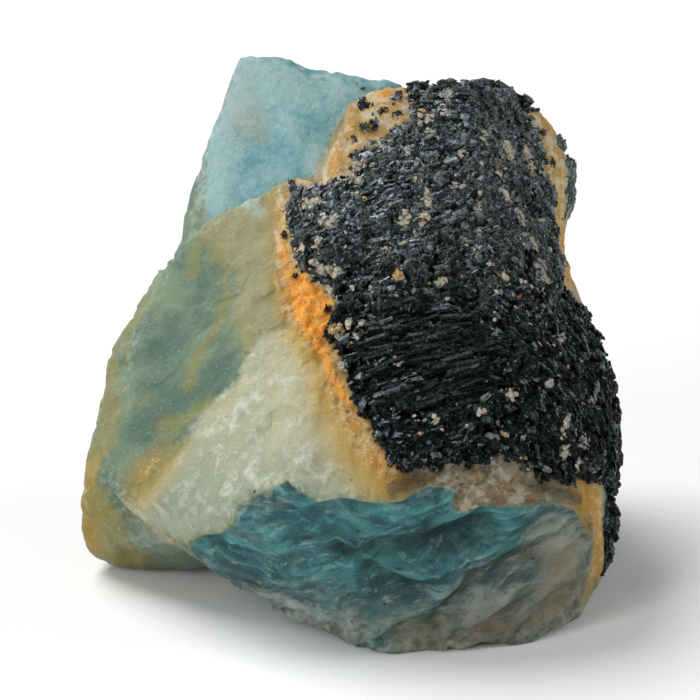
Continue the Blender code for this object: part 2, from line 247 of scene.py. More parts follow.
class StoneShape:
    """The broken outside of the stone, as a distance from its heart for every direction.

    A block is the convex hull of its corners. Along a direction d, a side of a block with normal n and
    height h over the heart is h / (n . d) away. The block's skin is the nearest of its sides, joined
    softly by a high power mean, and the stone's skin is the farthest block.
    """

    # Two to this power is the power of the mean: the higher it is, the crisper the edges
    CRISPNESS = 7
    # The sides around a place are averaged by this power, and their mean normal gets shorter at edges
    EDGE_POWER = 40
    FULL_EDGE = 0.12
    # How far the edges wander, in shares of the way out, and how many times over the ball
    WANDER, WANDER_WAVES = 0.016, 7.0
    SWELL, SWELL_LENGTH = 0.32, 5.5
    # What the rounding takes off the edges
    SPARE = 0.3

    def __init__(self, blocks: Sequence[tuple[list, list]]) -> None:
        """Finds the sides of every block from its seen and hidden corners."""
        self.noise = SeededNoise(11)
        self.sides = [self._hull_sides(seen, hidden) for seen, hidden in blocks]

    @staticmethod
    def _hull_sides(seen: list, hidden: list) -> tuple[Array, Array]:
        """Normals and heights over the heart of the sides of the hull of the corners.

        Args:
            seen: Corners on the picture, as (right, up, near).
            hidden: Corners as (across, back, up).

        Returns:
            Rows of normals, and a height for each.
        """
        hull = bmesh.new()
        for corner in np.concatenate([from_picture(np.array(seen, float)), np.array(hidden, float)]):
            hull.verts.new(corner)
        bmesh.ops.convex_hull(hull, input=hull.verts)
        normals = np.array([face.normal for face in hull.faces])
        corners = np.array([face.verts[0].co for face in hull.faces])
        hull.free()
        heights = np.einsum("ij,ij->i", normals, corners - HEART)
        rows = np.concatenate([normals, heights[:, None]], axis=1) * np.sign(heights)[:, None]
        rows = np.unique(np.round(rows, 3), axis=0)
        return rows[:, :3], rows[:, 3]

    def reach(self, rays: Array) -> tuple[Array, Array, Array]:
        """How far the skin is from the heart.

        Args:
            rays: Rows of directions of length one.

        Returns:
            The distance, how much of an edge there is (0 to 1), and by how much the farthest block
            beats the next one, which is small in the creases between blocks.
        """
        turned = unit(rays + self.WANDER * self.noise.drift(rays * self.WANDER_WAVES))
        blocks, edges = [], []
        for normals, heights in self.sides:
            lean = np.maximum(turned @ normals.T / heights, TINY)
            steepest = lean.max(axis=1)
            share = lean / steepest[:, None]
            weight = share**self.EDGE_POWER
            blunt = np.linalg.norm(weight @ normals, axis=1) / weight.sum(axis=1)
            edges.append(((1 - blunt) / self.FULL_EDGE).clip(0, 1))
            for _ in range(self.CRISPNESS):
                share *= share
            blocks.append(1 / (steepest * share.sum(axis=1) ** (0.5**self.CRISPNESS)))
        ranked = np.sort(blocks, axis=0)
        farthest = np.argmax(blocks, axis=0)
        edge = np.take_along_axis(np.array(edges), farthest[None], axis=0)[0]
        swell = self.SWELL * self.noise.clouds(rays * MAP_RADIUS / self.SWELL_LENGTH, 3)
        return ranked[-1] + swell + self.SPARE, edge, ranked[-1] - ranked[-2]

    def skin(self, rays: Array) -> Array:
        """Places on the skin along rows of directions."""
        return HEART + rays * self.reach(rays)[0][:, None]

    def _first_hit(self, sight: Array, eye: Array) -> Array:
        """Where a line of sight first meets the stone, or comes closest to a block that it misses.

        The line is within a block from the last side that it enters to the first that it leaves.

        Args:
            sight: The line's direction.
            eye: Where it starts.

        Returns:
            The place.
        """
        hits, near_misses = [], []
        for normals, heights in self.sides:
            slope = normals @ sight
            travel = (heights - normals @ (eye - HEART)) / slope
            enter, leave = travel[slope < 0].max(), travel[slope > 0].min()
            if enter < leave:
                hits.append(enter)
            near_misses.append((enter - leave, (enter + leave) / 2))
        return eye + sight * (min(hits) if hits else min(near_misses)[1])

    def lay(self, points: Sequence[tuple]) -> Array:
        """Directions of length one from the heart to points written as (right, up) or (x, y, z).

        Args:
            points: The points.

        Returns:
            A row for each.
        """
        eye = from_picture(np.array([[0, 0, VIEW_DISTANCE]]))[0]
        places = []
        for point in points:
            if len(point) == 3:
                places.append(np.array(point, float))
            else:
                aim = from_picture(np.array([[*point, 0.0]]))[0]
                places.append(self._first_hit(unit(aim - eye), eye))
        return unit(np.array(places) - HEART)


class Outline:
    """A closed line on the skin, seen on a flat map that keeps distances from the line's middle."""

    def __init__(self, rays: Array) -> None:
        """Centres the map on the mean of the rays.

        Args:
            rays: Directions of the line's corners, in order.
        """
        self.middle = unit(rays.mean(axis=0))
        across = unit(np.cross([0.0, 0.0, 1.0], self.middle))
        self.axes = np.stack([across, np.cross(self.middle, across)])
        self.corners = self.to_map(rays)

    def to_map(self, rays: Array) -> Array:
        """Flat places of directions: as far from the centre as the angle, times the map's radius.

        Args:
            rays: Rows of directions.

        Returns:
            Rows of two lengths, in millimetres.
        """
        flat = rays @ self.axes.T
        angle = np.arccos(np.clip(rays @ self.middle, -1, 1))
        length = np.maximum(np.linalg.norm(flat, axis=1), TINY)
        return flat * (angle * MAP_RADIUS / length)[:, None]

    def from_map(self, flat: Array) -> Array:
        """Directions of flat places, the opposite of to_map.

        Args:
            flat: Rows of two lengths, in millimetres.

        Returns:
            Rows of directions.
        """
        length = np.maximum(np.linalg.norm(flat, axis=1, keepdims=True), TINY)
        angle = length / MAP_RADIUS
        return np.cos(angle) * self.middle + np.sin(angle) * (flat / length) @ self.axes

    def inside(self, rays: Array) -> Array:
        """Distance to the line, above zero inside it.

        Each side's distance is that to its nearest point. A place is inside when a line from it to the
        far right crosses the sides an odd number of times.

        Args:
            rays: Rows of directions.

        Returns:
            Millimetres, one for each.
        """
        places = self.to_map(rays)
        nearest = np.full(len(places), np.inf)
        within = np.zeros(len(places), bool)
        for start, end in zip(self.corners, np.roll(self.corners, -1, axis=0)):
            side, out = end - start, places - start
            along = np.clip(out @ side / (side @ side), 0, 1)
            nearest = np.minimum(nearest, np.linalg.norm(out - along[:, None] * side, axis=1))
            spans = (start[1] > places[:, 1]) != (end[1] > places[:, 1])
            rise = side[1] if side[1] else TINY
            within ^= spans & (out[:, 0] < side[0] * out[:, 1] / rise)
        return np.where(within, nearest, -nearest)

    def border(self, turns: Array) -> Array:
        """How far the line is from the middle of the map along each angle, at its farthest crossing.

        Args:
            turns: Angles on the map.

        Returns:
            Millimetres, one for each.
        """
        heading = np.stack([np.cos(turns), np.sin(turns)], axis=1)
        far = np.zeros(len(turns))
        for start, end in zip(self.corners, np.roll(self.corners, -1, axis=0)):
            side = end - start
            spread = heading[:, 0] * side[1] - heading[:, 1] * side[0]
            spread = np.where(np.abs(spread) < TINY, TINY, spread)
            distance = (start[0] * side[1] - start[1] * side[0]) / spread
            along = (start[0] * heading[:, 1] - start[1] * heading[:, 0]) / spread
            hit = (along >= 0) & (along <= 1) & (distance > far)
            far = np.where(hit, distance, far)
        return far


class Tint(Enum):
    """What the beryl can be coloured by. Each is an attribute of the stone's mesh, in millimetres."""

    TEAL = "teal"
    SKY = "sky"
    CREAM = "cream"
    PALE = "pale"
    MARGIN = "margin"
    FLANK = "flank"
    CRUMBLE = "crumble"
    OCHRE = "ochre"
    ORANGE = "orange"
    OLIVE = "olive"
    RUST = "rust"
    GREY = "grey"
    TAN = "tan"
    CLOUD = "cloud"


@dataclass(frozen=True)
class Zone:
    """A stretch of skin inside an outline, in one tint."""

    tint: Tint
    outline: tuple

    def strength(self, shape: StoneShape, rays: Array) -> Array:
        """Distance inside the zone's outline at each ray."""
        return Outline(shape.lay(self.outline)).inside(rays)


@dataclass(frozen=True)
class Streak:
    """A vein or a stain along a path, in one tint, with soft ends."""

    tint: Tint
    width: float
    path: tuple
    STEP = 1.0

    def strength(self, shape: StoneShape, rays: Array) -> Array:
        """Half the width less the distance to the path, which is laid on the skin in short steps.

        Args:
            shape: The stone.
            rays: Rows of directions.

        Returns:
            Millimetres, one for each.
        """
        stops = []
        for start, end in zip(self.path, self.path[1:]):
            count = max(1, round(math.dist(start, end) / self.STEP))
            stops += [tuple(np.array(start) + (np.array(end) - start) * k / count) for k in range(count)]
        track = shape.lay(stops + [self.path[-1]]) * MAP_RADIUS
        nearest = np.full(len(rays), np.inf)
        for start, end in zip(track, track[1:]):
            side, out = end - start, rays * MAP_RADIUS - start
            along = np.clip(out @ side / (side @ side), 0, 1)
            nearest = np.minimum(nearest, np.linalg.norm(out - along[:, None] * side, axis=1))
        return self.width / 2 - nearest


PAINT: tuple[Zone | Streak, ...] = (
    Zone(Tint.TEAL, (
        (-13.6, -16.1), (-12, -15.6), (-10.9, -15.4), (-9.8, -14.5), (-9.5, -13.1),
        (-7.5, -12.2), (-5.4, -11.2), (-4.3, -12), (-2.7, -12.8), (-0.7, -12.3), (2, -12.8), (4.3, -12.8),
        (5.6, -11.9), (7.1, -11.5), (8.8, -11.6), (8.5, -13.4), (9.9, -13.8), (11, -13.3), (13.5, -13.3),
        (17.1, -12.9), (18.9, -13.5), (19.7, -14.9), (20.4, -16.6), (20.1, -19.1), (19.4, -22.5),
        (14, -8, 0), (3, -8, 0), (-8, -8, 0), (-11.2, -19), (-12.7, -17.9), (-13.4, -17),
    )),
    Zone(Tint.CREAM, (
        (-4.2, 2.1), (-7.5, 1), (-8.9, -1), (-9.6, -2.9), (-12.2, -4.8), (-12.8, -6.3), (-13.6, -7.5),
        (-15, -8.9), (-15.6, -9.6), (-16.6, -11.4), (-17.9, -11.8), (-19.2, -12.8), (-18.4, -13.9),
        (-17.1, -14.6), (-16.2, -15.5), (-15.3, -15.9), (-14, -16.1), (-12, -15.6), (-10.9, -15.4),
        (-9.8, -14.5), (-9.5, -13.1), (-7.5, -12.2), (-5.4, -11.2), (-2.7, -12.8), (-0.7, -12.3),
        (4.3, -12.8), (5.6, -11.8), (7.7, -11.4), (4.2, -10), (1.9, -7.2), (0.2, -4.2), (-0.9, -1.7),
        (-2.1, 1.3),
    )),
    Zone(Tint.SKY, (
        (-12.2, 13.6), (-11.1, 20.4), (-10.1, 23), (-9, 24.6), (-9, 19, 33), (-3, 20, 28), (5, 18, 26),
        (10, 18, 33), (6, 21.8), (3.3, 22), (0.7, 21.4), (-0.7, 21.1), (-1, 19.7), (-1.7, 18.3), (-1.9, 17),
        (-2.8, 15.9), (-3.1, 14.7), (-5.3, 14.7), (-6.3, 13.9), (-7.5, 12.9), (-9.3, 12.5), (-11.3, 11.9),
        (-12.3, 11.2), (-13.3, 10), (-14.4, 9.5),
    )),
    Zone(Tint.PALE, (
        (-12.3, 11.1), (-11.3, 11.8), (-9.3, 12.4), (-7.5, 12.8), (-6.3, 13.8), (-5.3, 14.2), (-5.4, 9),
        (-3.9, 3), (-5, 0.5), (-8.9, -1), (-10, 3), (-9.4, 6.4), (-11.5, 7.5),
    )),
    Zone(Tint.MARGIN, (
        (-14.6, 8.8), (-16.2, 5.4), (-16.7, 3.8), (-17.9, 2.6), (-18.9, 0.5), (-19.2, -1.1), (-19.6, -2.6),
        (-19.7, -5.1), (-19.9, -8.1), (-21.7, -10.6), (-22.6, -10.9), (-21.6, -7.2), (-20.5, -2.9),
        (-19.8, 0), (-17.6, 4.6), (-15.7, 8),
    )),
    Zone(Tint.FLANK, (
        (-21.7, -10.5), (-20.6, -12.5), (-19.8, -13.3), (-18.3, -14), (-16.5, -15.4), (-15, -16.2),
        (-13.5, -16.6), (-13.2, -17.6), (-11.4, -19.2), (-12, 2, 1), (-19, 4, 4), (-20.5, 0, 8),
        (-22.6, -11.1),
    )),
    Zone(Tint.CRUMBLE, (
        (3.7, -10.4), (2.9, -11.2), (5.1, -12.1), (6.8, -11.4), (8.8, -11.7), (8.7, -13.4), (9.9, -13.6),
        (11, -13.2), (13.5, -13.2), (17.1, -12.8), (18.9, -13.4), (19.7, -14.9), (21.3, -14.8),
        (21.2, -11.9), (20.8, -9.8), (18.4, -10.4), (16.7, -9.7), (11.9, -7.3), (11.1, -8.8), (7.7, -8.5),
        (4.2, -8.8),
    )),
    Zone(Tint.OCHRE, (
        (5.9, 22.4), (3.2, 22.2), (0.9, 21.6), (-0.4, 19.9), (-1.1, 17.9), (-1.9, 16.2), (-2.8, 14.6),
        (-4.3, 13.8), (-4.6, 13.0), (-1.5, 12.9), (1.5, 14), (3, 17), (5.5, 18.4), (7.4, 20.8),
    )),
    Streak(Tint.OCHRE, 1.7, ((-3, 14), (-4.9, 13.5), (-5.7, 12.4), (-5.8, 10.2), (-5.4, 7.5), (-4.6, 6.4))),
    Streak(Tint.OCHRE, 2.0, ((-4.6, 6), (-4.4, 4.4), (-3.4, 2.8), (-2.8, 1), (-2, -1), (-1.2, -2.9))),
    Streak(Tint.OCHRE, 2.2, ((-1.4, -2.9), (0, -5.4), (1.5, -7.9), (3.2, -9.9))),
    Streak(Tint.OCHRE, 1.7, ((20, -11.9), (21.1, -13.8), (21.2, -16.6), (20.8, -18.6))),
    Streak(Tint.RUST, 0.3, ((19.9, -14.4), (20.5, -16.6), (20.2, -19.2))),
    Zone(Tint.OCHRE, (
        (14.9, 20.1), (16.6, 19), (18.1, 16.5), (18.6, 13), (18.1, 10), (18.4, 7.8), (19.2, 4.6), (17.6, 5),
        (16.4, 9), (15.6, 12.8), (14.8, 16.8), (14, 19),
    )),
    Zone(Tint.OCHRE, (
        (-5.9, 8.5), (-4.5, 9), (-0.5, 5), (-0.3, 1), (-1.2, -2.4), (-2.6, -1.2), (-4, 0.8), (-5.5, 3),
        (-6.1, 5.6),
    )),
    Zone(Tint.ORANGE, (
        (-5.5, 6.5), (-4.2, 6.7), (-2.6, 5.2), (-1.4, 4), (-1.9, 0.8), (-2.6, -0.4), (-3.4, 1), (-4.7, 2.9),
    )),
    Streak(Tint.ORANGE, 0.8, ((-2.4, 0.5), (-1.8, -1.2), (-1.2, -2.8), (-0.4, -4.2))),
    Streak(Tint.ORANGE, 0.7, ((-5.6, 9.5), (-5.5, 8), (-5.2, 6.8))),
    Streak(Tint.ORANGE, 0.5, ((1.4, 21.6), (3, 21.9), (4.4, 22.3))),
    Streak(Tint.OLIVE, 1.2, ((-12.5, 9.4), (-12.9, 8.8), (-13.2, 7.4), (-13.2, 6.4))),
    Streak(Tint.OLIVE, 0.7, (
        (-11.5, 9.1), (-10.9, 8.2), (-10.6, 7.4), (-10.5, 6), (-10.1, 4.8), (-10.5, 3.2), (-11.4, 1),
    )),
    Streak(Tint.OLIVE, 1.4, ((-10.3, 4.6), (-11, 2.2), (-12.6, -0.6), (-13.4, -3))),
    Streak(Tint.OLIVE, 1.0, ((-6.1, 6.8), (-6.3, 5.5), (-6.5, 4.2))),
    Streak(Tint.OLIVE, 1.6, ((-11.8, -4.4), (-13.2, -5.3), (-14.3, -6.3), (-15.7, -6.2))),
    Streak(Tint.OLIVE, 1.0, ((-13.6, -7.5), (-15, -8.8), (-16.2, -9.2))),
    Streak(Tint.OLIVE, 1.9, ((-16.2, -9.6), (-17.1, -10.1), (-17, -11))),
    Streak(Tint.OLIVE, 0.7, ((-17.9, -4.6), (-17.3, -4.1))),
    Streak(Tint.OLIVE, 0.8, ((-9.2, 20.5), (-8.2, 20.2))),
    Streak(Tint.OCHRE, 0.4, ((-16.6, -9.7), (-17.2, -10.3))),
    Streak(Tint.PALE, 4.2, ((-17.2, -15.6), (-15.4, -17.2), (-12.5, -18.6))),
    Streak(Tint.OLIVE, 0.25, (
        (-13.6, -16), (-12, -15.6), (-9.8, -14.5), (-9.5, -13.1), (-7.5, -12.2), (-5.4, -11.2),
    )),
    Streak(Tint.OCHRE, 0.1, ((-22.3, -11.2), (-22.5, -13.4), (-22.2, -15.1), (-21.6, -16.6))),
    Streak(Tint.RUST, 0.2, ((-20.2, -16), (-19.4, -17), (-18.7, -17.7))),
    Streak(Tint.OLIVE, 3.0, ((-21.6, -13.6), (-20.4, -16), (-18.8, -17.6))),
    Streak(Tint.RUST, 0.9, ((5, -11.6), (3.5, -11.9), (6.2, -10.9))),
    Streak(Tint.RUST, 0.9, ((14.8, -11.2), (17.2, -12), (19.4, -12.6))),
    Streak(Tint.GREY, 3.4, ((11.1, -22.8), (14.5, -21.2), (17.9, -21.2), (19.6, -19.6))),
    Streak(Tint.GREY, 2.4, ((17.9, -21.2), (17.8, -19.1), (17.2, -17.2), (17.8, -15.6))),
    Streak(Tint.GREY, 2.2, ((5.7, -24.2), (8.7, -24.2), (12.1, -23.8), (16.2, -22.6))),
    Streak(Tint.CLOUD, 0.6, ((-7.3, -21.2), (-4.2, -22.2), (-0.6, -22.6))),
    Streak(Tint.GREY, 2.2, ((-8.4, -21), (-4.2, -22.6), (-0.6, -23.2))),
    Streak(Tint.TAN, 1.3, ((4.5, -24.4), (9, -24.2), (13, -23.5), (17, -22.5), (19.4, -21), (20.6, -19))),
    Streak(Tint.TAN, 2.0, ((18.8, -16.6), (18.4, -18.4), (17.2, -20))),
    Streak(Tint.CLOUD, 1.7, ((-9, 23.6), (-9.9, 20), (-10.6, 16.6), (-11.8, 12.6))),
    Streak(Tint.CLOUD, 1.4, ((-8.6, 24.2), (-5, 23.2), (-0.9, 22.3))),
    Streak(Tint.CLOUD, 0.5, ((-7.6, 21.4), (-5.8, 20.4), (-4.5, 19))),
    Streak(Tint.CLOUD, 1.6, ((-3, 16), (-2.6, 15.4))),
    Streak(Tint.CLOUD, 0.4, ((-9.6, 15), (-7.4, 14.6), (-5.4, 15.6))),
    Streak(Tint.CLOUD, 1.1, ((-8.8, 12.4), (-7.6, 11.8))),
    # Stains on the sides away from the viewer
    Streak(Tint.OCHRE, 0.3, ((-8, 19, 31), (-12, 17, 25), (-11, 17, 18))),
    Streak(Tint.OCHRE, 0.5, ((21, 4, 9), (20, 9, 12))),
    Streak(Tint.OLIVE, 2.4, ((17, 17, 29), (15, 18, 24), (10, 18, 20))),
    Streak(Tint.RUST, 0.3, ((-2, 20, 24), (1, 19, 20), (7, 18, 17), (13, 16, 14))),
    Zone(Tint.CREAM, ((17, 16, 26), (18.5, 13, 20), (18, 13, 10), (15, 16, 6), (10, 18, 9), (12, 18, 18))),
    Zone(Tint.PALE, ((-13, 15, 20), (-6, 18, 22), (2, 19, 16), (4, 17, 6), (-6, 16, 3), (-13, 14, 8))),
)


def new_mesh(
    name: str, points: Array, faces: Sequence[Array], material: Material, smooth: bool
) -> Piece:
    """Makes an object from arrays.

    Args:
        name: The piece's name.
        points: Rows of places in millimetres.
        faces: Arrays of corner numbers, each array with one number of corners a face.
        material: The piece's finish.
        smooth: Whether its faces are shaded as one smooth skin.

    Returns:
        The linked object, at the origin.
    """
    mesh = bpy.data.meshes.new(name)
    corners = np.concatenate([block.ravel() for block in faces])
    sizes = np.concatenate([np.full(len(block), block.shape[1]) for block in faces])
    mesh.vertices.add(len(points))
    mesh.vertices.foreach_set("co", to_metres(points).astype(np.float32).ravel())
    mesh.loops.add(len(corners))
    mesh.loops.foreach_set("vertex_index", corners.astype(np.int32))
    mesh.polygons.add(len(sizes))
    mesh.polygons.foreach_set("loop_start", (np.cumsum(sizes) - sizes).astype(np.int32))
    mesh.polygons.foreach_set("use_smooth", np.full(len(sizes), smooth))
    mesh.update(calc_edges=True)
    mesh.materials.append(material)
    piece = bpy.data.objects.new(name, mesh)
    bpy.context.scene.collection.objects.link(piece)
    return piece


def add_values(piece: Piece, name: str, values: Array) -> None:
    """Stores one number, or one vector, at each point of the piece under a name.

    Args:
        piece: The piece.
        name: The name that its finish knows.
        values: Numbers, or rows of three.
    """
    kind, key = ("FLOAT", "value") if values.ndim == 1 else ("FLOAT_VECTOR", "vector")
    store = piece.data.attributes.new(name, kind, "POINT")
    store.data.foreach_set(key, values.astype(np.float32).ravel())


def mesh_places(piece: Piece) -> Array:
    """The places of a piece's points, in millimetres.

    Args:
        piece: The piece.

    Returns:
        Rows of places.
    """
    flat = np.empty(len(piece.data.vertices) * 3)
    piece.data.vertices.foreach_get("co", flat)
    return flat.reshape(-1, 3) / MM


def add_map(piece: Piece, places: Array) -> None:
    """Gives the piece a flat map with one place for each corner of each face, in the faces' order."""
    layer = piece.data.uv_layers.new(name="OFBake")
    layer.data.foreach_set("uv", places.astype(np.float32).ravel())


def linear(code: str) -> tuple[float, float, float, float]:
    """A colour written as six hexadecimal digits, as the light that the shaders count in."""
    parts = [int(code[k : k + 2], 16) / 255 for k in (0, 2, 4)]
    return (*(p / 12.92 if p <= 0.04045 else ((p + 0.055) / 1.055) ** 2.4 for p in parts), 1.0)


class NodeBench:
    """A short way to write shader nodes: each call adds a node and gives back its output."""

    def __init__(self, name: str) -> None:
        """Starts a material with its shader.

        Args:
            name: The material's name.
        """
        self.material = bpy.data.materials.new(name)
        self.material.use_nodes = True
        self.tree = self.material.node_tree
        self.shader = self.tree.nodes["Principled BSDF"]

    def plug(self, socket: Socket, value: Socket | float | tuple) -> None:
        """Links an output to a socket, or sets a plain value on it.

        Args:
            socket: The socket.
            value: What goes into it.
        """
        if isinstance(value, Socket):
            self.tree.links.new(value, socket)
        else:
            socket.default_value = value

    def dress(self, name: str, value: Socket | float | tuple) -> None:
        """Sets one of the shader's own inputs."""
        self.plug(self.shader.inputs[name], value)

    def place(self) -> Socket:
        """The point's place in millimetres, from its Object coordinates."""
        return self.stretch(self.node("TexCoord", {}, "Object"), (1 / MM,) * 3)

    def node(
        self, kind: str, inputs: dict[str | int, Socket | float | tuple], output: str | int = 0,
        **choices: str,
    ) -> Socket:
        """Adds a node.

        Args:
            kind: Its type, without the ShaderNode in front.
            inputs: What goes into its sockets, by their names or numbers.
            output: The name or number of the output that is wanted.
            choices: The node's own settings.

        Returns:
            That output.
        """
        node = self.tree.nodes.new("ShaderNode" + kind)
        for name, choice in choices.items():
            setattr(node, name, choice)
        for name, value in inputs.items():
            self.plug(node.inputs[name], value)
        return node.outputs[output]

    def stretch(self, vector: Socket, factors: tuple[float, float, float]) -> Socket:
        """A vector with each part multiplied by its factor."""
        return self.node("VectorMath", {0: vector, 1: factors}, operation="MULTIPLY")

    def value_of(self, name: str) -> Socket:
        """The number stored under a name."""
        return self.node("Attribute", {}, "Fac", attribute_name=name)

    def vector_of(self, name: str) -> Socket:
        """The vector stored under a name."""
        return self.node("Attribute", {}, "Vector", attribute_name=name)

    def noise(
        self, vector: Socket, waves: float, detail: float = 3, rough: float = 0.55, swirl: float = 0
    ) -> Socket:
        """Noise from 0 to 1: waves a millimetre, finer ones added, how rough these are, and its twist."""
        shape = {"Vector": vector, "Scale": waves, "Detail": detail, "Roughness": rough, "Distortion": swirl}
        return self.node("TexNoise", shape, "Fac")

    def height(self, vector: Socket) -> Socket:
        """The upward part of a vector."""
        return self.node("SeparateXYZ", {0: vector}, "Z")

    def cells(self, vector: Socket, waves: float) -> Socket:
        """Distance to the nearest of many strewn points, of which a millimetre has so many."""
        return self.node("TexVoronoi", {"Vector": vector, "Scale": waves}, "Distance")

    def count(self, operation: str, first: Socket | float, second: Socket | float) -> Socket:
        """One step of arithmetic, by the name that a Math node has for it."""
        return self.node("Math", {0: first, 1: second}, operation=operation)

    def times(self, first: Socket | float, second: Socket | float) -> Socket:
        """The product of two numbers."""
        return self.count("MULTIPLY", first, second)

    def plus(self, first: Socket | float, second: Socket | float) -> Socket:
        """The sum of two numbers."""
        return self.count("ADD", first, second)

    def centred(self, noise: Socket, swing: float) -> Socket:
        """Noise around zero, where it was around a half, times its swing."""
        return self.times(self.count("SUBTRACT", noise, 0.5), swing)

    def ease(self, value: Socket, low: float, high: float, start: float = 0.0, end: float = 1.0) -> Socket:
        """A smooth step from start to end, as the value goes from low to high."""
        span = {"Value": value, "From Min": low, "From Max": high, "To Min": start, "To Max": end}
        return self.node("MapRange", span, "Result", interpolation_type="SMOOTHSTEP")

    def blend(self, first: Socket | str, second: Socket | str, share: Socket | float) -> Socket:
        """A colour between two, each an output or six hexadecimal digits."""
        ends = [linear(colour) if isinstance(colour, str) else colour for colour in (first, second)]
        return self.node("Mix", {0: share, 6: ends[0], 7: ends[1]}, 2, data_type="RGBA")

    def coats(self, ground: Socket | str, *coats: tuple[Socket | str, Socket | float]) -> Socket:
        """A colour with coats laid over it, one after the other.

        Args:
            ground: The colour below, as blend takes it.
            coats: For each coat its colour, and the share of it that shows.

        Returns:
            The colour on top.
        """
        for colour, share in coats:
            ground = self.blend(ground, colour, share)
        return ground

    def emboss(self, height: Socket, depth: float) -> None:
        """Raises the shading by a height between 0 and 1, times a depth in millimetres."""
        self.dress("Normal", self.node("Bump", {"Distance": depth * MM, "Height": height}, "Normal"))


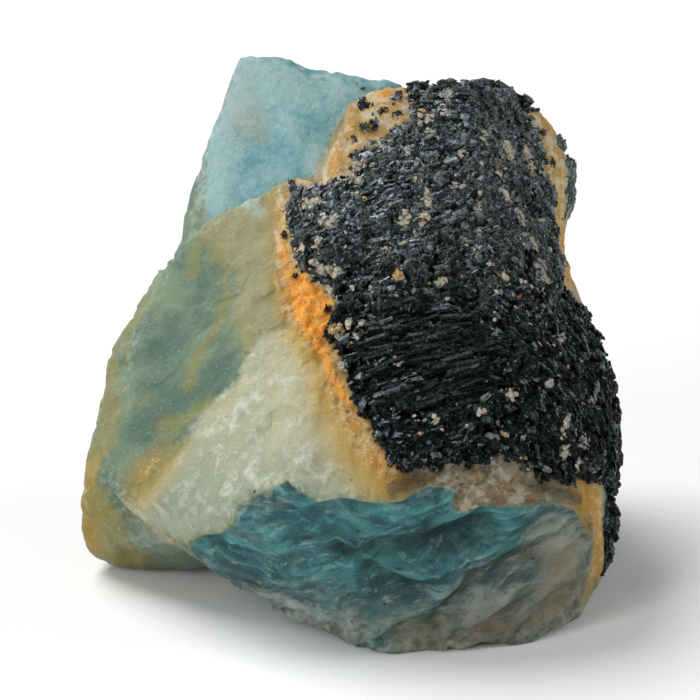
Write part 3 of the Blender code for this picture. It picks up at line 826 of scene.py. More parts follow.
class BerylSkin:
    """The colours of the beryl's areas, made on one bench from the noises that they share."""

    def __init__(self, bench: NodeBench) -> None:
        """Adds the noises, from broad ones to fine ones.

        Args:
            bench: Where the nodes are made.
        """
        self.bench = bench
        self.place = bench.place()
        self.upward = bench.height(self.place)
        self.broad = bench.noise(self.place, 0.17, 4)
        self.patch = bench.noise(self.place, 0.55, 5, 0.6, 0.4)
        self.veil = bench.noise(bench.stretch(self.place, (1, 0.6, 2.2)), 0.7, 5, 0.65, 0.8)
        self.frost = bench.noise(self.place, 0.7, 6, 0.66, 0.3)
        self.mottle = bench.noise(self.place, 1.4, 5, 0.6)
        self.sugar = bench.noise(self.place, 3.6, 4, 0.75)
        self.speck = bench.noise(self.place, 6, 2)
        # Along the fibres of the teal face
        flow = bench.vector_of("flow")
        self.fibre = bench.noise(bench.stretch(flow, (0.2, 0.5, 0.15)), 1.0, 4, 0.6, 0.4)
        self.thread = bench.noise(bench.stretch(flow, (0.7, 2.4, 0.6)), 1.0, 5, 0.7, 0.4)
        # Crests of the ripples, which also place painted highlight on crests and painted shade in troughs
        self.crest = bench.value_of("crest")

    def within(self, tint: Tint) -> Socket:
        """How far inside a tint's strokes a place is, in millimetres, and below zero outside them."""
        return self.bench.value_of(tint.value)

    def shown(self, tint: Tint, soft: float, ragged: float, most: float = 1.0) -> Socket:
        """How much of a tint shows: its distance inside plus noise, eased over a soft rim.

        Args:
            tint: The tint.
            soft: Half the rim's width, in millimetres.
            ragged: How far the noise moves the rim, in millimetres.
            most: The share at the inside.

        Returns:
            The share, from 0 to most.
        """
        bench = self.bench
        waver = bench.centred(self.mottle, ragged)
        grain = bench.centred(self.speck, ragged * 0.35)
        field = bench.plus(self.within(tint), bench.plus(waver, grain))
        return bench.ease(field, -soft, soft, 0.0, most)

    def sea_green(self) -> Socket:
        """The ground colour: sea green with grey-green veils and bluer patches."""
        ease = self.bench.ease
        return self.bench.coats(
            "496856",
            ("74886A", ease(self.broad, 0.38, 0.66)),
            ("809A84", ease(self.veil, 0.55, 0.8, 0, 0.55)),
            ("41696A", ease(self.patch, 0.54, 0.72, 0, 0.55)),
        )

    def margin(self) -> Socket:
        """The weathered left edge: olive below and pale green above."""
        ease = self.bench.ease
        return self.bench.coats(
            "82804E",
            ("8CA085", ease(self.upward, 17, 26)),
            ("7F8A62", ease(self.patch, 0.45, 0.65, 0, 0.6)),
        )

    def cream(self) -> Socket:
        """The weathered front: cream with white frost, and yellow beside the ochre.

        Returns:
            The colour.
        """
        bench, ease = self.bench, self.bench.ease
        frosted = bench.times(ease(self.frost, 0.48, 0.68), ease(self.upward, 7, 14, 0.35, 0.85))
        yellow = bench.blend("B3984F", "BFA65C", ease(self.upward, 12, 20))
        return bench.coats(
            "909A83",
            ("B3B190", ease(self.upward, 10, 19)),
            ("9CA58C", ease(self.broad, 0.42, 0.62, 0, 0.6)),
            ("CDD1BE", frosted),
            ("878B6A", ease(self.mottle, 0.58, 0.75, 0, 0.45)),
            (yellow, ease(self.within(Tint.OCHRE), -4.2, -0.2, 0, 0.9)),
        )

    def sky(self) -> Socket:
        """The smooth upper face: two blues with pale veils and frost, and darker where frost lacks."""
        ease = self.bench.ease
        return self.bench.coats(
            "56929A",
            ("74A8AC", ease(self.patch, 0.36, 0.66)),
            ("8BB2B4", ease(self.veil, 0.52, 0.74, 0, 0.6)),
            ("A9C6C3", ease(self.frost, 0.56, 0.7, 0, 0.4)),
            ("47828B", ease(self.frost, 0.44, 0.3, 0, 0.4)),
        )

    def clear_teal(self) -> Socket:
        """The fresh break: dark teal, paler threads, painted highlight on crests, painted shade in troughs
        and dents.
        """
        bench, ease = self.bench, self.bench.ease
        return bench.coats(
            "164B52",
            ("3E8486", ease(self.fibre, 0.38, 0.62)),
            # Painted shade in the troughs between the crests
            ("0A2F38", ease(self.crest, 0.3, -0.5, 0, 0.5)),
            # Painted highlight along the crests
            ("68A5A7", ease(self.crest, 0.5, 0.95, 0, 0.4)),
            ("8FB5AF", ease(self.thread, 0.54, 0.68, 0, 0.55)),
            ("05262E", ease(self.thread, 0.47, 0.36, 0, 0.6)),
            # Painted shade in the dents
            ("03242C", ease(bench.value_of("sunk"), 0.1, 0.9, 0, 0.55)),
            ("3F736C", ease(self.broad, 0.52, 0.7, 0, 0.5)),
        )

    def drab(self) -> Socket:
        """The grey-green and tan parts of the break, drawn out along its fibres as the teal is, with painted
        highlight on crests and painted shade in troughs.
        """
        bench, ease = self.bench, self.bench.ease
        return bench.coats(
            "525C54",
            ("8C8D82", ease(self.fibre, 0.4, 0.6)),
            # Painted highlight along the crests
            ("A8A490", ease(self.crest, 0.4, 1.0, 0, 0.6)),
            # Painted shade in the troughs
            ("44422F", ease(self.crest, 0.2, -0.4, 0, 0.6)),
            ("B2AFA0", ease(self.thread, 0.54, 0.68, 0, 0.5)),
            ("3B3D33", ease(self.thread, 0.46, 0.36, 0, 0.5)),
            ("6F5F3D", ease(self.patch, 0.52, 0.68, 0, 0.25)),
            (bench.blend("8B7B5A", "A9A491", ease(self.upward, 5, 10)), self.shown(Tint.TAN, 0.8, 2.0, 0.7)),
        )

    def teal(self) -> Socket:
        """The broken face: clear teal, and drab where grey or tan is near, in drawn-out tongues.

        Returns:
            The colour.
        """
        bench = self.bench
        drawn = bench.times(bench.count("SUBTRACT", bench.plus(self.fibre, self.thread), 1.0), 5.0)
        near = bench.count("MAXIMUM", self.within(Tint.GREY), self.within(Tint.TAN))
        share = bench.ease(bench.plus(near, drawn), -2.4, 1.3, 0, 0.9)
        return bench.blend(self.clear_teal(), self.drab(), share)

    def flank(self) -> Socket:
        """The left flank: olive brown with ochre veils, and grey-green in its pale part."""
        ease = self.bench.ease
        return self.bench.coats(
            "69682C",
            ("57551C", ease(self.patch, 0.4, 0.6)),
            ("7D7432", ease(self.veil, 0.45, 0.8, 0, 0.7)),
            ("64776A", self.shown(Tint.PALE, 1.6, 1.4, 0.9)),
        )

    def crumble(self) -> Socket:
        """The crumbly band under the crust: browns in shreds, with white and dark flakes.

        Returns:
            The colour.
        """
        bench, ease = self.bench, self.bench.ease
        shred = bench.noise(bench.stretch(self.place, (0.6, 0.8, 1.2)), 0.9, 6, 0.68, 0.8)
        return bench.coats(
            "4A3A22",
            ("8A7A60", ease(shred, 0.4, 0.56)),
            ("B9AD9C", ease(self.frost, 0.5, 0.62, 0, 0.8)),
            ("7F5A24", ease(self.patch, 0.48, 0.66, 0, 0.65)),
            ("2E2415", ease(self.frost, 0.44, 0.32, 0, 0.8)),
        )

    def ochre(self) -> Socket:
        """The stained rind: ochre, warmer in patches, bare and pale near the top, and granular.

        Returns:
            The colour.
        """
        bench, ease = self.bench, self.bench.ease
        warm = bench.times(ease(self.patch, 0.4, 0.6), ease(self.upward, 29, 23, 0.5, 0.85))
        bare = bench.times(ease(self.frost, 0.48, 0.6, 0, 0.85), ease(self.upward, 23, 27))
        return bench.coats(
            "B8924A",
            ("CDB07A", ease(self.mottle, 0.38, 0.62)),
            ("BC8420", warm),
            ("D3C7AE", bare),
            ("DDD4BA", ease(self.speck, 0.54, 0.68, 0, 0.5)),
            ("6B4C1E", ease(self.speck, 0.38, 0.26, 0, 0.6)),
        )

    def orange(self) -> Socket:
        """The bright stain beside the crust: two oranges with pale and rusty grains."""
        ease = self.bench.ease
        return self.bench.coats(
            "EE9212",
            ("EBA636", ease(self.mottle, 0.42, 0.6)),
            ("EFCB92", ease(self.speck, 0.55, 0.68, 0, 0.6)),
            ("C96F10", ease(self.speck, 0.42, 0.3, 0, 0.5)),
        )

    def wash(self) -> Socket:
        """The share of thin ochre: patchy around the ochre, none on the teal and little on the blue.

        Returns:
            The share.
        """
        bench, ease = self.bench, self.bench.ease
        near = bench.times(ease(self.within(Tint.OCHRE), -2.6, 0.2), ease(self.patch, 0.3, 0.6, 0.25, 0.8))
        off_teal = bench.times(near, ease(self.within(Tint.TEAL), 0.1, -0.1))
        return bench.times(off_teal, ease(self.within(Tint.SKY), 0.2, -0.4, 0.15, 1))

    def off_margin(self) -> Socket:
        """A share that is full away from the left margin and slight on it."""
        return self.bench.ease(self.within(Tint.MARGIN), 0.3, -0.6, 0.15, 1)

    def seam(self) -> Socket:
        """The share of stain in the creases between the blocks, in patches.

        Returns:
            The share.
        """
        bench, ease = self.bench, self.bench.ease
        stained = bench.times(ease(bench.value_of("crease"), 0.8, 0.05), ease(self.patch, 0.42, 0.6))
        return bench.times(bench.times(stained, self.off_margin()), 0.7)

    def edge_wear_and_highlight(self) -> Socket:
        """The share of pale on the edges, partly wear and partly painted highlight, away from the ochre and
        the margin.

        Returns:
            The share.
        """
        bench, ease = self.bench, self.bench.ease
        edges = bench.times(bench.value_of("edge"), ease(self.mottle, 0.4, 0.7))
        clean = bench.times(edges, ease(self.within(Tint.OCHRE), -0.4, -1.6))
        return bench.times(bench.times(clean, self.off_margin()), 0.45)

    def pits(self) -> Socket:
        """The share of small dark dots: around strewn points, where the broad noise is high.

        Returns:
            The share.
        """
        bench, ease = self.bench, self.bench.ease
        dots = bench.times(ease(bench.cells(self.place, 0.42), 0.075, 0.05), ease(self.broad, 0.42, 0.5))
        return bench.times(dots, 0.85)

    def sparkle(self) -> Socket:
        """The share of fine pale specks, partly grains and partly painted glints, fewer on the teal face.

        Returns:
            The share.
        """
        bench, ease = self.bench, self.bench.ease
        grains = bench.times(ease(self.sugar, 0.52, 0.7), ease(self.mottle, 0.42, 0.62))
        return bench.times(bench.times(grains, ease(self.within(Tint.TEAL), 0.2, -0.2, 0.3, 1)), 0.3)

    def colour(self) -> Socket:
        """The whole skin's colour: the areas over the sea green in their order, then the fine marks.

        Returns:
            The colour.
        """
        bench, ease, shown = self.bench, self.bench.ease, self.shown
        pale = bench.blend("92895A", "9C9A70", ease(self.patch, 0.4, 0.65))
        return bench.coats(
            self.sea_green(),
            (pale, shown(Tint.PALE, 1.2, 2.4, 0.85)),
            (self.margin(), shown(Tint.MARGIN, 0.2, 0.5, 0.95)),
            (self.cream(), shown(Tint.CREAM, 0.7, 2.2)),
            (self.sky(), shown(Tint.SKY, 0.25, 0.7)),
            (self.teal(), shown(Tint.TEAL, 0.08, 0.25)),
            (self.flank(), shown(Tint.FLANK, 0.12, 0.3, 0.92)),
            ("9A8544", self.seam()),
            (self.crumble(), shown(Tint.CRUMBLE, 0.3, 1.0)),
            ("B08C34", self.wash()),
            ("86803A", shown(Tint.OLIVE, 0.6, 1.6, 0.6)),
            (self.ochre(), shown(Tint.OCHRE, 0.45, 1.8, 0.95)),
            (self.orange(), shown(Tint.ORANGE, 0.7, 1.8, 0.95)),
            ("4B3D22", shown(Tint.RUST, 0.4, 1.6, 0.75)),
            ("A9C0BE", shown(Tint.CLOUD, 0.9, 2.4, 0.6)),
            # Pale edges: partly wear, partly painted highlight
            ("B9C6BA", self.edge_wear_and_highlight()),
            ("2A2415", self.pits()),
            # Pale specks: partly grains, partly painted glints
            ("D6DBCB", self.sparkle()),
            ("3A4A3E", ease(self.sugar, 0.44, 0.3, 0, 0.3)),
            # Darker towards the bottom of the stone
            ("2F3A2C", ease(self.upward, 9, 0, 0, 0.15)),
        )


@dataclass(frozen=True)
class BerylFinish:
    """Cloudy blue-green beryl, weathered cream in places, with ochre and olive stains."""

    ior: float = 1.57
    shine: float = 0.3
    glow: float = 0.22
    glow_depth: float = 0.8
    # How far red, green and blue light go in, each as a share of the depth
    glow_reach: tuple[float, float, float] = (0.8, 1.0, 0.95)
    relief: float = 0.15

    def make(self) -> Material:
        """Lays the colours, with crumbs and threads raised, and the rusty areas duller.

        Returns:
            The finish.
        """
        bench = NodeBench("weathered beryl")
        skin = BerylSkin(bench)
        bench.dress("Base Color", skin.colour())
        rusty = bench.count("MAXIMUM", skin.shown(Tint.OCHRE, 0.35, 1.3), skin.shown(Tint.CRUMBLE, 0.3, 1.0))
        gloss = bench.ease(skin.mottle, 0.35, 0.7, 0.36, 0.55)
        bench.dress("Roughness", bench.plus(gloss, bench.times(rusty, 0.3)))
        grain = bench.plus(bench.times(skin.sugar, 0.8), bench.times(skin.mottle, 0.5))
        threads = bench.times(skin.thread, skin.shown(Tint.TEAL, 0.3, 0.2))
        crumbs = bench.times(bench.times(skin.speck, 0.8), rusty)
        bench.emboss(bench.plus(grain, bench.plus(threads, crumbs)), self.relief)
        bench.dress("IOR", self.ior)
        bench.dress("Specular IOR Level", self.shine)
        bench.dress("Subsurface Weight", self.glow)
        bench.dress("Subsurface Radius", self.glow_reach)
        bench.dress("Subsurface Scale", self.glow_depth * MM)
        return bench.material


@dataclass(frozen=True)
class TourmalineFinish:
    """Black tourmaline: glassy faces among dull ones, greyer towards the top of the crust as dust and as
    painted top light.
    """

    ior: float = 1.55
    # A little blue in the glints
    glint: tuple[float, float, float, float] = (0.82, 0.97, 1, 1)
    relief: float = 0.09

    def make(self) -> Material:
        """Near-black, with dust and painted top light where the mesh says so, pale specks painted as glints,
        and a polish by its tone.

        Returns:
            The finish.
        """
        bench = NodeBench("black tourmaline")
        ease = bench.ease
        place = bench.place()
        patch = bench.noise(place, 0.5, 4)
        grain = bench.noise(place, 3.2, 4, 0.65)
        fine = bench.noise(place, 11, 2)
        tone, dusty_and_top_lit = bench.value_of("tone"), bench.value_of("dust_and_top_light")
        dust_and_top_light = bench.times(ease(patch, 0.38, 0.58), ease(grain, 0.44, 0.6))
        # Pale specks in the base colour: painted glints
        painted_glint_specks = ease(bench.noise(place, 7, 3, 0.7), 0.6, 0.7)
        colour = bench.coats(
            "060809",
            ("0F1315", ease(patch, 0.4, 0.65)),
            # Grey patches towards the top: dust, and painted light on the upper crust
            ("6D7272", bench.times(dust_and_top_light, ease(dusty_and_top_lit, 0, 1, 0.08, 0.9))),
            # Lighter grains towards the top: partly dust, partly painted glints
            ("56646A", bench.times(ease(tone, 0.75, 1.0), ease(dusty_and_top_lit, 0, 1, 0.12, 0.95))),
            # Painted glints as pale specks
            ("A9B4B8", bench.times(painted_glint_specks, ease(dusty_and_top_lit, 0, 1, 0.15, 0.95))),
        )
        bench.dress("Base Color", colour)
        bench.dress("Roughness", ease(grain, 0.35, 0.65, 0.1, 0.34))
        polish = bench.times(ease(tone, 0.58, 0.96, 0.08, 1.5), ease(grain, 0.4, 0.58, 0.4, 1.2))
        bench.dress("Specular IOR Level", bench.plus(polish, ease(dusty_and_top_lit, 0, 1, 0.02, 0.36)))
        bench.dress("Specular Tint", self.glint)
        bench.emboss(bench.plus(grain, bench.times(fine, 0.4)), self.relief)
        bench.dress("IOR", self.ior)
        return bench.material


@dataclass(frozen=True)
class FeldsparFinish:
    """Dull feldspar grains, from grey-white over cream to ochre and orange."""

    relief: float = 0.06

    def make(self) -> Material:
        """Colours each grain by its tone, with dark and white marks over all of them.

        Returns:
            The finish.
        """
        bench = NodeBench("feldspar grains")
        ease = bench.ease
        place = bench.place()
        tone = bench.value_of("tone")
        mottle = bench.noise(place, 4, 3)
        colour = bench.coats(
            "8E8B8A",
            ("B3AA92", ease(tone, 0.1, 0.4)),
            ("C29A55", ease(tone, 0.6, 0.8)),
            ("C97A2C", ease(tone, 0.85, 0.95)),
            ("544E43", ease(mottle, 0.46, 0.66, 0, 0.75)),
            ("DAD5C6", ease(bench.noise(place, 9, 2), 0.55, 0.68, 0, 0.7)),
        )
        bench.dress("Base Color", colour)
        bench.dress("Roughness", ease(mottle, 0.3, 0.7, 0.45, 0.7))
        bench.emboss(mottle, self.relief)
        return bench.material


@dataclass
class AquamarineStone:
    """The whole beryl crystal: one closed skin of quads, laid out as the six faces of a cube."""

    shape: StoneShape
    pockets: tuple[Outline, ...]
    cells: int = 128
    crowding: float = 0.78
    crowded_side: tuple[float, float, float] = (-0.45, -0.85, 0.1)
    pocket_depth: float = 1.7
    # How much of each of the map's squares is left free at its sides
    map_gap: float = 0.01
    # What a tint's distance inside starts from, far outside every stroke
    unpainted: float = -20.0
    # The parabola that the teal face's fibres follow: its bend, and where across it is lowest
    fibre_bend: float = 0.0146
    fibre_low: float = -4.0
    # Hollows that blocks of flat sides lack: width, depth and path
    dents: tuple = (
        (3.0, 0.5, ((-3.2, 24.1), (-1, 23.6), (1.6, 23.1))),
        (2.6, 0.8, ((-14.2, 9.8), (-13.4, 12.5), (-12.7, 15.5))),
        (2.6, 0.5, ((-19.6, -4.6), (-19.3, -1.6))),
        (3.0, 0.8, ((10, -19), (14.5, -17.5), (17, -17))),
        (3.6, 1.1, ((2.6, -17), (7, -16.4), (12, -15.4))),
        (1.8, 0.7, ((-1, -16.4), (3, -19.4), (6.5, -20.6))),
        (1.4, 0.5, ((12, -18.6), (9, -21), (7.4, -23))),
    )

    def ball(self) -> tuple[Array, Array, Array]:
        """A ball made of a cube's six faces.

        On each face, two angles go from -45 to 45 degrees, and the direction is the cube's point at
        their tangents. Points that faces share at the cube's edges are merged.

        Returns:
            Directions, quads of direction numbers, and the quads' places on a map of 3 by 2 squares.
        """
        line = np.tan(np.linspace(-math.pi / 4, math.pi / 4, self.cells + 1))
        s, t = (part.ravel() for part in np.meshgrid(line, line, indexing="ij"))
        row = np.arange(self.cells)
        first = (row[:, None] * (self.cells + 1) + row).ravel()
        side = np.stack([first, first + self.cells + 1, first + self.cells + 2, first + 1], axis=1)
        inset = np.linspace(self.map_gap, 1 - self.map_gap, self.cells + 1)
        flat = np.stack([part.ravel() for part in np.meshgrid(inset, inset, indexing="ij")], axis=1)
        points, quads, map_places = [], [], []
        for number, (axis, sign) in enumerate(itertools.product(range(3), (1, -1))):
            cube = np.empty((len(s), 3))
            cube[:, axis] = sign
            cube[:, (axis + 1) % 3], cube[:, (axis + 2) % 3] = s, t * sign
            points.append(cube)
            quads.append(side + number * len(s))
            map_places.append((flat[side] + (number % 3, number // 3)) / (3, 2))
        joined = unit(np.concatenate(points))
        _, kept, merged = np.unique(np.round(joined, 6), axis=0, return_index=True, return_inverse=True)
        return joined[kept], merged.ravel()[np.concatenate(quads)], np.concatenate(map_places)

    def crowd(self, rays: Array) -> Array:
        """Draws directions towards the crowded side: half the angle's tangent shrinks by one factor.

        Args:
            rays: Rows of directions.

        Returns:
            The drawn directions. The side itself and its opposite stay where they are, and the two small
            numbers keep the sums there off zero.
        """
        middle = unit(np.array(self.crowded_side))
        cosine = np.clip(rays @ middle, -1, 1)
        angle = 2 * np.arctan(np.tan(np.arccos(cosine) / 2 * (1 - 1e-9)) * self.crowding)
        across = unit(rays - cosine[:, None] * middle + 1e-12)
        return np.cos(angle)[:, None] * middle + np.sin(angle)[:, None] * across

    def relief(
        self, places: Array, tints: dict[Tint, Array], flow: Array, edge: Array
    ) -> Array:
        """Height of the broken skin.

        Shelves are a saw-tooth of a slowly changing noise, so they run along its level lines, as the
        ripples of a shell-like break do. Pits are finer noise, and chips are cut where a noise is above
        zero on the edges. The teal face has scoops and crests along its fibres, only a quarter of the
        shelves and pits, and a lip where it meets the areas above it. The ochre and the crumbly band are
        rough with two more noises.

        Args:
            places: Rows of places on the smooth skin.
            tints: The distance inside each tint at each place.
            flow: The places as the fibres see them.
            edge: How much of an edge there is at each place.

        Returns:
            Millimetres above the smooth skin.
        """
        noise = SeededNoise(23)
        turn = 1.6 * noise.clouds(places / 6.5, 2) + 0.15 * noise(places / 1.3)
        cream = ease(tints[Tint.CREAM], -0.5, 0.8)
        shelves = (turn - np.floor(turn) - 0.5) * 0.16 * (1 - 0.5 * cream)
        pits = 0.045 * noise.clouds(places / 1.3, 3) + 0.06 * noise.clouds(places / 0.6 + 5, 2) * cream
        chips = -0.5 * edge * np.maximum(noise(places / 1.1 + 9), 0) ** 1.5
        teal = ease(tints[Tint.TEAL], -0.1, 0.4)
        scoops = 0.75 * noise(flow * (0.11, 0.3, 0.05) + 3)
        fibres = 0.4 * self.crests(flow)
        rubble = ease(np.maximum(tints[Tint.OCHRE], tints[Tint.CRUMBLE]), -0.3, 0.4)
        rough = 0.24 * noise.clouds(places / 0.8 + 70, 3) + 0.3 * noise.clouds(places / 2.4 + 30, 2)
        beside = np.maximum(tints[Tint.CREAM], tints[Tint.CRUMBLE])
        lip = -0.5 * ease(tints[Tint.TEAL], -0.05, 0.35) * ease(beside, -4, -0.5)
        plain = shelves + pits
        return plain * (1 - 0.75 * teal) + teal * (scoops + fibres) + rubble * rough + chips + lip

    @staticmethod
    def crests(flow: Array) -> Array:
        """Ripples of the fibrous face: one along their crests, which is where a noise is zero, or less.

        Args:
            flow: The places as the fibres see them.

        Returns:
            A number for each.
        """
        noise = SeededNoise(24)
        broad = 1 - 3.2 * np.abs(noise(flow * (0.14, 0.55, 0.12)))
        narrow = 1 - 3.2 * np.abs(noise(flow * (0.32, 1.6, 0.3) + 40))
        return 0.5 * broad + 0.5 * narrow * np.clip(0.6 + broad, 0, 1)

    def hollows(self, rays: Array) -> Array:
        """How deep the dents are at each ray, in millimetres.

        Args:
            rays: Rows of directions.

        Returns:
            Millimetres, one for each.
        """
        deepest = np.zeros(len(rays))
        for width, deep, path in self.dents:
            inside = Streak(Tint.RUST, width, path).strength(self.shape, rays)
            deepest = np.maximum(deepest, deep * ease(inside, 0, width / 2))
        return deepest

    def paint(self, rays: Array, places: Array, near: Array) -> dict[Tint, Array]:
        """Lays every stroke of the paint.

        On the sides away from the viewer the strokes stray, by a noise added to the rays, and fray, by
        a noise added to the distance.

        Args:
            rays: Rows of directions.
            places: Places on the smooth skin along them.
            near: How much nearer the viewer than the picture plane each place is.

        Returns:
            For each tint, the distance inside its strokes at each ray.
        """
        tints = {tint: np.full(len(rays), self.unpainted) for tint in Tint}
        hidden = ease(near, 2, -8)[:, None]
        strayed = unit(rays + 0.09 * hidden * SeededNoise(31).drift(rays * 3.5))
        frayed = 1.8 * ease(near, -14, -18) * SeededNoise(32).clouds(places / 2.4, 3)
        for stroke in PAINT:
            strength = stroke.strength(self.shape, strayed) + frayed
            tints[stroke.tint] = np.maximum(tints[stroke.tint], strength)
        return tints

    def along_fibres(self, picture: Array) -> Array:
        """Places as the fibres of the teal face see them.

        Less the height of the parabola, every fibre lies level. A slow noise then shakes the places.

        Args:
            picture: Rows of (right, up, near).

        Returns:
            Rows of (along, across, near).
        """
        level = picture[:, 1] - self.fibre_bend * (picture[:, 0] - self.fibre_low) ** 2
        flow = np.stack([picture[:, 0], level, picture[:, 2]], axis=1)
        return flow + SeededNoise(47).drift(flow / 5) * (1.3, 1.1, 0.6)

    def build(self, finish: Material) -> Piece:
        """Pushes the ball out onto the skin, roughens it, and cuts it flat where it rests.

        Args:
            finish: The beryl.

        Returns:
            The stone, with what its finish reads stored on it.
        """
        rays, quads, map_places = self.ball()
        rays = self.crowd(rays)
        reach, edge, margin = self.shape.reach(rays)
        places = HEART + rays * reach[:, None]
        picture = to_picture(places)
        tints = self.paint(rays, places, picture[:, 2])
        flow = self.along_fibres(picture)
        sunk = self.hollows(rays)
        height = reach + self.relief(places, tints, flow, edge) - sunk
        for pocket in self.pockets:
            height -= self.pocket_depth * ease(pocket.inside(rays), 0.5, 1.3)
        floor = HEART[2] / np.maximum(-rays[:, 2], 1e-6)
        height = np.minimum(height, floor)
        piece = new_mesh("aquamarine_crystal", HEART + rays * height[:, None], [quads], finish, True)
        for tint, values in tints.items():
            add_values(piece, tint.value, values)
        # crest and sunk also drive the finish's painted highlight on crests and painted shade in dents
        marks = {"edge": edge, "sunk": sunk, "crest": self.crests(flow), "crease": margin, "flow": flow}
        for name, values in marks.items():
            add_values(piece, name, values)
        add_map(piece, map_places)
        return piece


# Which way the crystals lie in the crust: (right, up) of a sheaf's middle and its angle in degrees
SHEAVES = (
    (7.7, 20.4, 20), (2.5, 14.5, 25), (12.8, 18.7, 35), (6.8, 10.2, 18), (-2.5, 10.2, 30), (6.8, 3.2, 10),
    (6.8, -3.4, 18), (2.5, -4.2, 20), (12.8, 4.2, -52), (15.4, 0, -50), (19.5, -4.2, -65), (17.9, -8.5, -75),
    (11.1, -7.7, 24), (21.2, -12.8, -86), (16.2, 12.8, -70), (12.3, 12, 42), (10.2, -1.7, 14),
)
# Grooves and pits in the crust: width, depth and path
GROOVES = (
    (0.45, 0.6, ((2.8, 2.3), (6, 2.8), (9.8, 2.6))),
    (0.35, 0.6, ((3.1, -4.4), (4.7, -3.9), (6.5, -3.3))),
    (0.3, 0.5, ((6, -2.6), (7.7, -1.9), (8.5, -1.7))),
    (0.9, 1.0, ((14.1, 5.2), (14.6, 7.2))),
    (1.0, 1.0, ((14.2, 4.1), (16.4, 4.5))),
    (0.4, 0.6, ((12.7, 4.8), (13.7, 3.4))),
    (0.9, 0.7, ((17.5, 0.4), (19.2, -1.6))),
    (0.6, 0.6, ((10.6, -2.8), (13.2, -3.2), (14.4, -4.2))),
    (0.5, 0.5, ((5, 9.8), (7.4, 10.6))),
    (0.6, 0.6, ((4.4, 16.4), (5.6, 16.9))),
    (0.5, 0.5, ((9.4, -6.6), (12.4, -6))),
    (0.35, 0.5, ((1.9, 0.6), (5.2, 1.2))),
)


# The oval where long laths lie bare: (right, up) of its middle, and half its width and height
BED_MIDDLE, BED_HALF = (6.9, -1.0), (6.6, 5.0)


def lath_bed(picture: Array) -> Array:
    """How much a place of the picture belongs to the bed of long laths.

    The place's distance from the oval's middle counts in half widths and half heights. One less the
    square of that is above zero inside the oval, and is eased.

    Args:
        picture: Rows of (right, up, near).

    Returns:
        Shares from 0 to 1.
    """
    across = ((picture[:, 0] - BED_MIDDLE[0]) / BED_HALF[0]) ** 2
    upwards = ((picture[:, 1] - BED_MIDDLE[1]) / BED_HALF[1]) ** 2
    return ease(1 - across - upwards, 0, 0.4)


def sheaf_angles(picture: Array, noise: SeededNoise) -> Array:
    """The angle, in radians, of the nearest sheaf at each place of the picture, with wavering borders.

    Args:
        picture: Rows of (right, up, near).
        noise: What wavers the borders.

    Returns:
        An angle for each.
    """
    waver = np.stack([noise(picture / 1.6), noise(picture / 1.6 + 50)], axis=1) * 1.3
    anchors = np.array(SHEAVES, float)
    apart = np.linalg.norm((picture[:, :2] + waver)[:, None] - anchors[None, :, :2], axis=2)
    return np.radians(anchors[apart.argmin(axis=1), 2])


